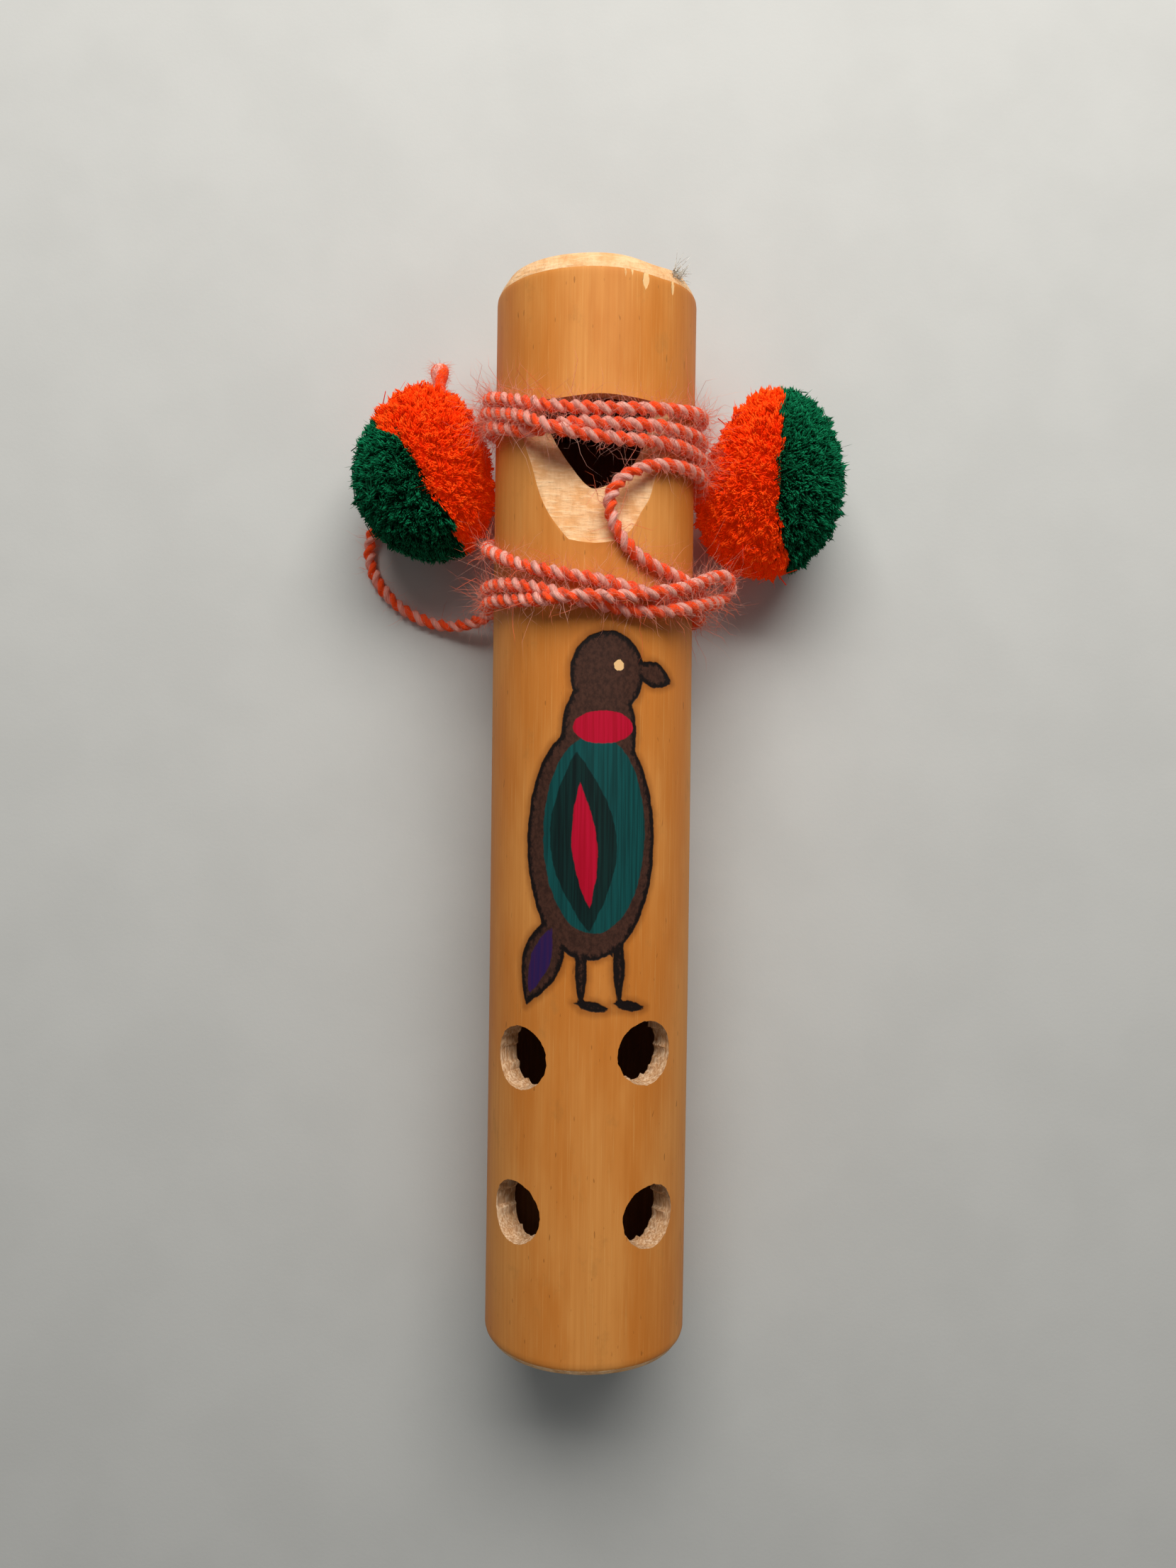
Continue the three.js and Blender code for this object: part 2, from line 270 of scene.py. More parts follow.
def linear(hex_colour):
    """An sRGB hex colour as linear RGBA."""
    channels = [int(hex_colour[i:i + 2], 16) / 255 for i in (1, 3, 5)]
    return [c / 12.92 if c <= 0.04045 else ((c + 0.055) / 1.055) ** 2.4 for c in channels] + [1.0]


def add_node(tree, kind, inputs=None, **settings):
    """Adds a node; inputs maps a socket's name or number to a value, or to a socket to link."""
    node = tree.nodes.new(kind)
    for name, value in settings.items():
        setattr(node, name, value)
    for key, value in (inputs or {}).items():
        if isinstance(value, bpy.types.NodeSocket):
            tree.links.new(value, node.inputs[key])
        elif isinstance(value, str):
            node.inputs[key].default_value = linear(value)
        else:
            node.inputs[key].default_value = value
    return node


def new_material(name):
    """An empty node material with its Principled shader and Object coordinates."""
    material = bpy.data.materials.new(name)
    material.use_nodes = True
    tree = material.node_tree
    tree.nodes.clear()
    shader = tree.nodes.new("ShaderNodeBsdfPrincipled")
    output = tree.nodes.new("ShaderNodeOutputMaterial")
    tree.links.new(shader.outputs["BSDF"], output.inputs["Surface"])
    coordinates = tree.nodes.new("ShaderNodeTexCoord").outputs["Object"]
    return material, tree, shader, coordinates


def grain_noise(tree, coordinates, size, detail=3.0, roughness=0.55):
    """Noise whose grains are size = (x, y, z) millimetres."""
    scale = [1 / (s * MM) for s in size]
    mapping = add_node(tree, "ShaderNodeMapping", {"Vector": coordinates, "Scale": scale})
    return add_node(
        tree, "ShaderNodeTexNoise",
        {"Vector": mapping.outputs["Vector"], "Scale": 1.0, "Detail": detail, "Roughness": roughness},
    ).outputs["Fac"]


def remapped(tree, value, low, high, to_low=0.0, to_high=1.0):
    """value from low..high to to_low..to_high, smoothly."""
    return add_node(
        tree, "ShaderNodeMapRange",
        {"Value": value, "From Min": low, "From Max": high, "To Min": to_low, "To Max": to_high},
        interpolation_type="SMOOTHSTEP",
    ).outputs["Result"]


def mixed(tree, share, first, second):
    """The colour between first and second at a share from 0 to 1."""
    return add_node(
        tree, "ShaderNodeMix", {0: share, 6: first, 7: second}, data_type="RGBA",
    ).outputs[2]


def calculated(tree, operation, first, second):
    return add_node(tree, "ShaderNodeMath", {0: first, 1: second}, operation=operation).outputs[0]


def raised(tree, shader, height, distance_mm, strength=1.0):
    """Bump on the shader from a 0..1 height worth distance_mm."""
    bump = add_node(
        tree, "ShaderNodeBump", {"Height": height, "Distance": distance_mm * MM, "Strength": strength},
    )
    tree.links.new(bump.outputs["Normal"], shader.inputs["Normal"])


def add_painted_glow(shader, strength):
    """Painted light: orange emission that makes the wool brighter than the lamps alone make it; 0 is none."""
    shader.inputs["Emission Color"].default_value = linear("#FF4400")
    shader.inputs["Emission Strength"].default_value = strength


def attribute(tree, name, output="Fac"):
    return add_node(tree, "ShaderNodeAttribute", attribute_name=name).outputs[output]


# Bamboo culm, sanded and brushed with thin clear varnish: a nearly matt honey skin with fine lengthwise
# fibres, long soft stains and small brown flecks. The bird is burnt in with a hot tip, which
# leaves a scorched rim, and filled with thin brushed paint that lets the fibres show.
BURN_BROWN = "#352019"
BURN_BLACK = "#150D0C"
PAINT_CRIMSON = "#A80022"
PAINT_TEAL = "#073838"
PAINT_DARK = "#061818"
PAINT_PURPLE = "#2A1A52"


def varnished_bamboo():
    material, tree, shader, place = new_material("varnished_bamboo_skin")
    stains = grain_noise(tree, place, (9, 34, 9), detail=4)
    fibres = grain_noise(tree, place, (0.45, 26, 0.45), detail=2)
    hairlines = grain_noise(tree, place, (0.16, 9, 0.16), detail=1)
    fleck_noise = grain_noise(tree, place, (0.35, 1.6, 0.35), detail=0)
    blotches = grain_noise(tree, place, (4, 6, 4), detail=5, roughness=0.7)
    skin = mixed(tree, remapped(tree, stains, 0.36, 0.66), "#CC7C31", "#DA934A")
    skin = mixed(tree, remapped(tree, fibres, 0.30, 0.72, 0.0, 0.26), skin, "#B86D28")
    skin = mixed(tree, remapped(tree, hairlines, 0.55, 0.8, 0.0, 0.22), skin, "#EDB66C")
    skin = mixed(tree, remapped(tree, blotches, 0.57, 0.72, 0.0, 0.30), skin, "#AC763A")
    skin = mixed(tree, remapped(tree, fleck_noise, 0.80, 0.86, 0.0, 0.5), skin, "#7C4A1C")
    edge_noise = grain_noise(tree, place, (1.1, 1.6, 1.1), detail=4)
    wander = remapped(tree, edge_noise, 0.2, 0.8, -0.11, 0.11)
    brush = grain_noise(tree, place, (0.3, 12, 0.3), detail=3)
    burn = calculated(tree, "ADD", attribute(tree, "burnt"), wander)
    scorch = remapped(tree, burn, -1.1, 0.1, 0.0, 0.55)
    colour = mixed(tree, scorch, skin, "#7A3F12")
    singed = grain_noise(tree, place, (0.5, 0.7, 0.5), detail=4, roughness=0.7)
    char = mixed(tree, remapped(tree, singed, 0.35, 0.65), BURN_BROWN, "#4A2E24")
    outline = remapped(tree, calculated(tree, "ADD", burn, remapped(tree, singed, 0, 1, -0.5, 0.5)), 0.4, 0.9)
    char = mixed(tree, outline, BURN_BLACK, char)
    colour = mixed(tree, remapped(tree, burn, -0.08, 0.10), colour, char)
    bare = grain_noise(tree, place, (0.22, 2.2, 0.22), detail=2)
    worn = remapped(tree, bare, 0.78, 0.82, 1.0, 0.1)
    layers = [("teal", PAINT_TEAL, "#0B4F4F"), ("dark", PAINT_DARK, "#0A2C2A"),
              ("purple", PAINT_PURPLE, "#3A1B4C"), ("crimson", PAINT_CRIMSON, "#BC0630")]
    for name, deep, light in layers:
        field = calculated(tree, "ADD", attribute(tree, name), wander)
        paint = mixed(tree, remapped(tree, brush, 0.3, 0.7), deep, light)
        cover = calculated(tree, "MULTIPLY", remapped(tree, field, -0.05, 0.12), worn)
        colour = mixed(tree, cover, colour, paint)
    chipped = remapped(tree, calculated(tree, "ADD", attribute(tree, "chipped"), wander), -0.02, 0.08)
    colour = mixed(tree, chipped, colour, "#F0C48A")
    tree.links.new(colour, shader.inputs["Base Color"])
    rough = remapped(tree, stains, 0.3, 0.7, 0.52, 0.62)
    tree.links.new(rough, shader.inputs["Roughness"])
    shader.inputs["IOR"].default_value = 1.5
    shader.inputs["Specular IOR Level"].default_value = 0.16
    shader.inputs["Coat Weight"].default_value = 0.02
    shader.inputs["Coat Roughness"].default_value = 0.3
    engraved = calculated(tree, "MULTIPLY", remapped(tree, burn, -0.1, 0.2), 0.7)
    height = calculated(tree, "SUBTRACT", calculated(tree, "MULTIPLY", fibres, 0.3), engraved)
    raised(tree, shader, calculated(tree, "SUBTRACT", height, chipped), 0.12, 0.6)
    return material


# Bamboo sawn and cut with a knife, then left bare: pale straw, matt, with the ends of the fibre
# bundles as small darker dots and fine marks across the cut from the blade.
def cut_bamboo():
    material, tree, shader, place = new_material("knife_cut_bamboo")
    bundles = grain_noise(tree, place, (0.6, 3, 0.6), detail=3)
    blade = grain_noise(tree, place, (1.9, 0.34, 1.9), detail=4)
    soft = grain_noise(tree, place, (2.2, 2.2, 2.2), detail=3)
    colour = mixed(tree, remapped(tree, soft, 0.3, 0.7), "#DFA468", "#F0C493")
    colour = mixed(tree, remapped(tree, bundles, 0.45, 0.75, 0.0, 0.32), colour, "#C68A50")
    colour = mixed(tree, remapped(tree, blade, 0.50, 0.66, 0.0, 0.55), colour, "#F8D3A4")
    tree.links.new(colour, shader.inputs["Base Color"])
    shader.inputs["Roughness"].default_value = 0.72
    shader.inputs["IOR"].default_value = 1.5
    raised(tree, shader, calculated(tree, "ADD", blade, bundles), 0.22, 0.9)
    return material


# Bamboo torn by a drill that ran hot: pale fuzzy fibre ends on a ragged wall.
def drilled_bamboo():
    material, tree, shader, place = new_material("drilled_bamboo")
    torn = grain_noise(tree, place, (0.9, 1.4, 0.9), detail=4)
    streaks = grain_noise(tree, place, (0.28, 4.0, 0.28), detail=3)
    colour = mixed(tree, remapped(tree, torn, 0.3, 0.7), "#D2A578", "#F0D0AC")
    colour = mixed(tree, remapped(tree, streaks, 0.38, 0.62, 0.7, 0.0), colour, "#A8713F")
    tree.links.new(colour, shader.inputs["Base Color"])
    shader.inputs["Roughness"].default_value = 0.9
    shader.inputs["IOR"].default_value = 1.5
    raised(tree, shader, calculated(tree, "ADD", torn, streaks), 0.18, 0.8)
    return material


# The culm's own inner wall, never touched by a tool: a thin papery skin, given a dull brown darker than its
# own pale tan as painted shade for the inside of the bore.
def inner_bamboo():
    material, tree, shader, place = new_material("bamboo_inner_skin")
    streaks = grain_noise(tree, place, (0.8, 12, 0.8), detail=3)
    # Painted shade: both browns are darker than the pale inner skin.
    colour = mixed(tree, remapped(tree, streaks, 0.35, 0.7), "#865430", "#946038")
    tree.links.new(colour, shader.inputs["Base Color"])
    shader.inputs["Roughness"].default_value = 0.8
    shader.inputs["Specular IOR Level"].default_value = 0.1
    shader.inputs["IOR"].default_value = 1.5
    raised(tree, shader, streaks, 0.1, 0.5)
    return material


# A turned hardwood plug, left bare: red-brown grain with darker pores.
def plug_wood():
    material, tree, shader, place = new_material("turned_hardwood")
    grain = grain_noise(tree, place, (0.7, 14, 0.7), detail=3)
    pores = grain_noise(tree, place, (0.22, 1.8, 0.22), detail=1)
    colour = mixed(tree, remapped(tree, grain, 0.35, 0.68), "#5A150A", "#741E0E")
    colour = mixed(tree, remapped(tree, pores, 0.6, 0.72, 0.0, 0.35), colour, "#451409")
    tree.links.new(colour, shader.inputs["Base Color"])
    shader.inputs["Roughness"].default_value = 0.7
    shader.inputs["IOR"].default_value = 1.5
    shader.inputs["Specular IOR Level"].default_value = 0.2
    raised(tree, shader, calculated(tree, "SUBTRACT", grain, pores), 0.12, 0.6)
    return material


# Two-ply wool yarn, spun and plied: one ply dyed orange, one undyed and stained pink by it. The
# surface is matt with a soft bright edge, and combed fibres follow each ply.
# strand holds (cos, sin) of the angle round the twisted section and the millimetres along it.
def wool_yarn():
    material, tree, shader, _ = new_material("plied_wool_yarn")
    strand = attribute(tree, "strand", "Vector")
    apart = add_node(tree, "ShaderNodeSeparateXYZ", {0: strand}).outputs
    combed = add_node(tree, "ShaderNodeMapping", {"Vector": strand, "Scale": (5.0, 5.0, 1.1)})
    fibres = add_node(
        tree, "ShaderNodeTexNoise", {"Vector": combed.outputs[0], "Scale": 1.0, "Detail": 3.0},
    ).outputs["Fac"]
    patches = add_node(
        tree, "ShaderNodeTexNoise", {"Vector": strand, "Scale": 1.3, "Detail": 2.0},
    ).outputs["Fac"]
    orange = mixed(tree, remapped(tree, fibres, 0.3, 0.7), "#EE3606", "#FF5A1C")
    pink = mixed(tree, remapped(tree, fibres, 0.3, 0.7), "#D98F82", "#F0C4B8")
    pink = mixed(tree, remapped(tree, patches, 0.5, 0.75, 0.0, 0.3), pink, "#F08060")
    frayed = calculated(tree, "ADD", apart[0], remapped(tree, fibres, 0.2, 0.8, -0.22, 0.22))
    colour = mixed(tree, remapped(tree, frayed, -0.16, 0.0), pink, orange)
    tree.links.new(colour, shader.inputs["Base Color"])
    # Painted light: a faint orange emission brightens the yarn.
    add_painted_glow(shader, 0.08)
    shader.inputs["Roughness"].default_value = 0.95
    shader.inputs["IOR"].default_value = 1.5
    shader.inputs["Specular IOR Level"].default_value = 0.2
    shader.inputs["Sheen Weight"].default_value = 0.35
    shader.inputs["Sheen Roughness"].default_value = 0.5
    shader.inputs["Sheen Tint"].default_value = linear("#FFC9B0")
    raised(tree, shader, fibres, 0.22, 0.9)
    return material


# Loose wool fibres that stand off the yarn: so thin and curled that together they show as a
# pale pink haze. shade is 0 for an undyed fibre and 1 for an orange one.
def wool_fibre():
    material, tree, shader, _ = new_material("loose_wool_fibre")
    colour = mixed(tree, attribute(tree, "shade"), "#EDB5A2", "#F0602A")
    tree.links.new(colour, shader.inputs["Base Color"])
    shader.inputs["Roughness"].default_value = 0.6
    shader.inputs["IOR"].default_value = 1.5
    shader.inputs["Specular IOR Level"].default_value = 0.3
    shader.inputs["Sheen Weight"].default_value = 0.5
    return material


# Cut wool pile, dyed in the skein: thousands of yarn ends. A darker root colour is painted shade
# deep between the ends, a lighter tip colour is a painted highlight on them, and an orange emission
# adds painted light. depth is 0 at the roots and 1 at the tips; shade differs from end to end.
def wool_pile(name, shaded_root, body, lit_tip, painted_glow):
    material, tree, shader, place = new_material(name)
    depth = attribute(tree, "depth")
    patches = grain_noise(tree, place, (1.6, 1.6, 1.6), detail=2)
    # Painted shade: the darker root colour deep in the pile, fading into the dye's own colour towards the
    # tips.
    colour = mixed(tree, remapped(tree, depth, 0.45, 0.9), shaded_root, body)
    bright = calculated(tree, "ADD", attribute(tree, "shade"), remapped(tree, patches, 0.3, 0.7, -0.3, 0.3))
    # Painted highlight: the lighter tip colour on the ends.
    lit = calculated(tree, "MULTIPLY", remapped(tree, depth, 0.6, 0.95), remapped(tree, bright, 0.0, 1.0))
    colour = mixed(tree, lit, colour, lit_tip)
    tree.links.new(colour, shader.inputs["Base Color"])
    add_painted_glow(shader, painted_glow)
    shader.inputs["Roughness"].default_value = 1.0
    shader.inputs["IOR"].default_value = 1.5
    shader.inputs["Specular IOR Level"].default_value = 0.1
    shader.inputs["Sheen Weight"].default_value = 0.3
    shader.inputs["Sheen Roughness"].default_value = 0.5
    shader.inputs["Sheen Tint"].default_value = linear(lit_tip)
    return material


# The same yarn pulled tight in a knot, where only short stretches of each ply show.
def knotted_yarn():
    material, tree, shader, place = new_material("knotted_wool_yarn")
    plies = grain_noise(tree, place, (0.9, 0.6, 0.9), detail=1)
    colour = mixed(tree, remapped(tree, plies, 0.46, 0.54), "#E9A793", "#FF5A20")
    tree.links.new(colour, shader.inputs["Base Color"])
    shader.inputs["Roughness"].default_value = 0.95
    raised(tree, shader, plies, 0.3, 0.8)
    return material


# Bleached fibre ends where the saw tore the rim instead of cutting it.
def torn_fibre():
    material, tree, shader, place = new_material("torn_bamboo_fibre")
    noise = grain_noise(tree, place, (0.3, 0.3, 0.3))
    colour = mixed(tree, remapped(tree, noise, 0.4, 0.6), "#A8A296", "#F0EBE0")
    tree.links.new(colour, shader.inputs["Base Color"])
    shader.inputs["Roughness"].default_value = 0.8
    return material


# Matt card under the whistle: pale grey with a trace of green and a faint tooth.
def pale_card():
    material, tree, shader, place = new_material("matt_card")
    mottle = grain_noise(tree, place, (18, 18, 18), detail=4)
    tooth = grain_noise(tree, place, (0.5, 0.5, 0.5), detail=2)
    colour = mixed(tree, remapped(tree, mottle, 0.3, 0.7), "#C3C5C4", "#C7C9C8")
    tree.links.new(colour, shader.inputs["Base Color"])
    shader.inputs["Roughness"].default_value = 0.85
    raised(tree, shader, tooth, 0.04, 0.3)
    return material


MATERIALS = {
    "skin": varnished_bamboo(),
    "cut": cut_bamboo(),
    "drilled": drilled_bamboo(),
    "inner": inner_bamboo(),
    "plug": plug_wood(),
    "yarn": wool_yarn(),
    "fibre": wool_fibre(),
    # In each pile the first colour is painted shade at the roots and the last a painted highlight at the
    # tips; the number is the strength of a painted orange emission.
    "orange_pile": wool_pile("orange_wool_pile", "#C41200", "#FF3C03", "#FF641A", 0.11),
    "green_pile": wool_pile("green_wool_pile", "#00301C", "#035C3A", "#148458", 0.0),
    "knot": knotted_yarn(),
    "torn": torn_fibre(),
    "card": pale_card(),
}

# ------------------------------------------------------------------ mesh helpers


def mesh_piece(name, vertices_mm, faces, material):
    """A mesh object in place, from millimetre points and its faces."""
    mesh = bpy.data.meshes.new(name)
    mesh.from_pydata((np.asarray(vertices_mm) * MM).tolist(), [], faces)
    mesh.materials.append(material)
    mesh.shade_smooth()
    piece = bpy.data.objects.new(name, mesh)
    bpy.context.scene.collection.objects.link(piece)
    return piece


def store(piece, name, values, kind="FLOAT"):
    """Keeps one value for each vertex as an attribute that the material reads."""
    field = "vector" if kind == "FLOAT_VECTOR" else "value"
    layer = piece.data.attributes.new(name, kind, "POINT")
    layer.data.foreach_set(field, np.asarray(values, np.float32).ravel())


def deselect_all():
    bpy.ops.object.select_all(action="DESELECT")


def make_active(piece):
    deselect_all()
    piece.select_set(True)
    bpy.context.view_layer.objects.active = piece


def apply_modifier(piece, kind, **settings):
    """Adds a modifier, sets it and applies it."""
    make_active(piece)
    modifier = piece.modifiers.new(kind.lower(), kind)
    for name, value in settings.items():
        setattr(modifier, name, value)
    bpy.ops.object.modifier_apply(modifier=modifier.name)


def apply_place(piece):
    """Moves the object's place into its mesh."""
    make_active(piece)
    bpy.ops.object.transform_apply(location=True, rotation=True, scale=True)


# ------------------------------------------------------------------ cord

SECTION_POINTS = 16


def unit(vectors):
    return vectors / (np.linalg.norm(vectors, axis=1)[:, None] + 1e-9)


def transported_frames(line):
    """Two directions across the line at each point, carried along it without twisting."""
    tangent = np.gradient(line, axis=0)
    tangent /= np.linalg.norm(tangent, axis=1)[:, None]
    across = np.zeros_like(line)
    start = np.cross(tangent[0], (0.0, 0.0, 1.0))
    across[0] = start / np.linalg.norm(start)
    for i in range(1, len(line)):
        kept = across[i - 1] - tangent[i] * (across[i - 1] @ tangent[i])
        across[i] = kept / np.linalg.norm(kept)
    return tangent, across, np.cross(tangent, across)


TANGENT, ACROSS, UPWARD = transported_frames(CORD)
ALONG = np.arange(len(CORD)) * RING_STEP


def two_ply_mesh(name, first, last):
    """The stretch of cord between two points, as one closed skin round both plies."""
    theta = np.linspace(0, 2 * np.pi, SECTION_POINTS, endpoint=False)
    lobe = PLY_OFFSET * np.abs(np.cos(theta))
    outline = lobe + np.sqrt(PLY_RADIUS ** 2 - (PLY_OFFSET * np.sin(theta)) ** 2)
    steps = np.arange(first, last + 1)
    slub = 1 + 0.05 * np.sin(ALONG[steps] * 1.9) + 0.04 * np.sin(ALONG[steps] * 0.73 + 1.0)
    turn = theta[None, :] + (2 * np.pi * ALONG[steps] / TWIST_LENGTH)[:, None]
    reach = outline[None, :] * slub[:, None]
    ring = (np.cos(turn) * reach)[..., None] * ACROSS[steps][:, None]
    ring += (np.sin(turn) * reach)[..., None] * UPWARD[steps][:, None]
    points = (CORD[steps][:, None] + ring).reshape(-1, 3)
    count = len(steps)
    faces = []
    for i in range(count - 1):
        for j in range(SECTION_POINTS):
            k = (j + 1) % SECTION_POINTS
            a, b = i * SECTION_POINTS, (i + 1) * SECTION_POINTS
            faces.append((a + j, a + k, b + k, b + j))
    faces.append(tuple(range(SECTION_POINTS))[::-1])
    faces.append(tuple((count - 1) * SECTION_POINTS + j for j in range(SECTION_POINTS)))
    piece = mesh_piece(name, points, faces, MATERIALS["yarn"])
    strand = np.stack(np.broadcast_arrays(
        np.cos(theta)[None, :], np.sin(theta)[None, :], ALONG[steps][:, None]), axis=2)
    store(piece, "strand", strand.reshape(-1, 3), "FLOAT_VECTOR")
    return piece


def declare_cord(replaced):
    """Hides the CAD pieces that the stretch stands for."""
    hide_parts(*replaced)


LOOSE_FIBRE = ((0, 1.0), (0.25, 0.9), (0.5, 0.75), (0.75, 0.6))      # share of the length, thickness there
CUT_FIBRE = ((0, 0.75), (0.87, 1.0))


def hair_mesh(name, roots, ways, curls, thickness, shade, material, keep_out=None,
              profile=LOOSE_FIBRE, wave=0.0):
    """Curled three-sided fibres, each closed and brought to a point."""
    rings = len(profile)
    count = len(roots)
    side = unit(np.cross(ways, RNG.normal(size=(count, 3))))
    other = unit(np.cross(ways, side))
    corners = [side, -0.5 * side + 0.87 * other, -0.5 * side - 0.87 * other]
    stride = rings * 3 + 1
    points = np.zeros((count, stride, 3))
    depth = np.ones(stride)
    swing = side * np.linalg.norm(ways, axis=1)[:, None] * wave
    for ring, (t, share) in enumerate(profile):
        spine = roots + ways * t + curls * t * t + swing * math.sin(2 * math.pi * t)
        if keep_out is not None and ring > 0:
            spine = keep_out(spine)
        for c, corner in enumerate(corners):
            points[:, ring * 3 + c] = spine + corner * (thickness * share)[:, None]
        depth[ring * 3:ring * 3 + 3] = t
    points[:, -1] = roots + ways + curls if keep_out is None else keep_out(roots + ways + curls)
    pattern = [(2, 1, 0)]
    for ring in range(rings - 1):
        for c in range(3):
            d = (c + 1) % 3
            pattern.append((ring * 3 + c, ring * 3 + d, ring * 3 + 3 + d, ring * 3 + 3 + c))
    last = (rings - 1) * 3
    pattern += [(last + c, last + (c + 1) % 3, stride - 1) for c in range(3)]
    faces = [tuple(i * stride + v for v in face) for i in range(count) for face in pattern]
    piece = mesh_piece(name, points.reshape(-1, 3), faces, material)
    store(piece, "shade", np.repeat(shade, stride))
    store(piece, "depth", np.tile(depth, count))
    return piece


def off_tube(points):
    """Keeps fibres out of the bamboo and the table."""
    kept = points.copy()
    radius = np.hypot(kept[:, 0], kept[:, 2])
    outward = np.maximum((TUBE_RADIUS + 0.08) / np.maximum(radius, 1e-6), 1)
    kept[:, 0] *= outward
    kept[:, 2] *= outward
    kept[:, 2] = np.maximum(kept[:, 2], table_height(kept[:, 1]) + 0.05)
    return kept


FINE_FIBRE = (0.012, 0.024)     # half thickness, from and to
WIRY_FIBRE = (0.026, 0.040)
WIRY_SHARE = 0.07
FIBRE_ROOT = 0.7                # how far from the cord's middle a loose fibre starts


def cord_fuzz(name, first, last, per_mm, longest):
    """Loose fibres that stand off one stretch of the cord."""
    count = int((last - first) * RING_STEP * per_mm)
    at = RNG.integers(first, last, count)
    turn = RNG.uniform(0, 2 * np.pi, count)
    out = np.cos(turn)[:, None] * ACROSS[at] + np.sin(turn)[:, None] * UPWARD[at]
    on_tube = np.hypot(CORD[at, 0], CORD[at, 2]) < 20
    from_axis = CORD[at] * (1, 0, 1)
    from_axis /= np.linalg.norm(from_axis, axis=1)[:, None]
    inward = on_tube & ((out * from_axis).sum(axis=1) < -0.25)
    out[inward] -= 2 * (out * from_axis).sum(axis=1)[inward, None] * from_axis[inward]
    length = longest * RNG.beta(1.1, 4.5, count) + 0.5
    way = out + RNG.normal(size=(count, 3)) * 0.45 + TANGENT[at] * RNG.normal(size=(count, 1)) * 0.8
    way /= np.linalg.norm(way, axis=1)[:, None]
    curl = RNG.normal(size=(count, 3)) * 0.55 * length[:, None]
    roots = CORD[at] + out * FIBRE_ROOT
    thickness = RNG.uniform(*FINE_FIBRE, count)
    wiry = RNG.random(count) < WIRY_SHARE
    length[wiry] = RNG.uniform(0.45, 1.0, wiry.sum()) * longest
    curl[wiry] *= 1.2
    thickness[wiry] = RNG.uniform(*WIRY_FIBRE, wiry.sum())
    shade = RNG.beta(0.9, 0.7, count)
    shade[wiry] = 1
    return hair_mesh(name, roots, way * length[:, None], curl, thickness, shade, MATERIALS["fibre"],
                     off_tube, wave=0.13)


UPPER_WINDING_FOOT_Y = 47
IN_UPPER_WINDING = 1000         # this point of the cord is well inside the upper winding
PAST_UPPER = int(np.argmax((CORD[:, 1] < UPPER_WINDING_FOOT_Y) & (np.arange(len(CORD)) > IN_UPPER_WINDING)))

right_tail = two_ply_mesh("cord_right_tail_wool", 0, TUBE_BOTTOM)
right_tail_fuzz = cord_fuzz("cord_right_tail_fuzz", 0, TUBE_BOTTOM, 10, 4)
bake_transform(right_tail)
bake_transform(right_tail_fuzz)
declare_cord(["cord_right_tail"])

winding = two_ply_mesh("cord_winding_wool", TUBE_BOTTOM, TAIL_LEAVES)
upper_fuzz = cord_fuzz("cord_upper_fuzz", TUBE_BOTTOM, PAST_UPPER, 15, 6.5)
lower_fuzz = cord_fuzz("cord_lower_fuzz", PAST_UPPER, TAIL_LEAVES, 13, 6.0)
for piece in (winding, upper_fuzz, lower_fuzz):
    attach(piece, "flute")
declare_cord(
    ["cord_upper_winding", "cord_lower_winding", "cord_front_loop", "cord_back_run", "cord_right_bight"],
)

left_tail = two_ply_mesh("cord_left_tail_wool", TAIL_LEAVES, len(CORD) - 1)
left_tail_fuzz = cord_fuzz("cord_left_tail_fuzz", TAIL_LEAVES, len(CORD) - 1, 9, 3.2)
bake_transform(left_tail)
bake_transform(left_tail_fuzz)
declare_cord(["cord_left_tail"])

# ------------------------------------------------------------------ bamboo tube


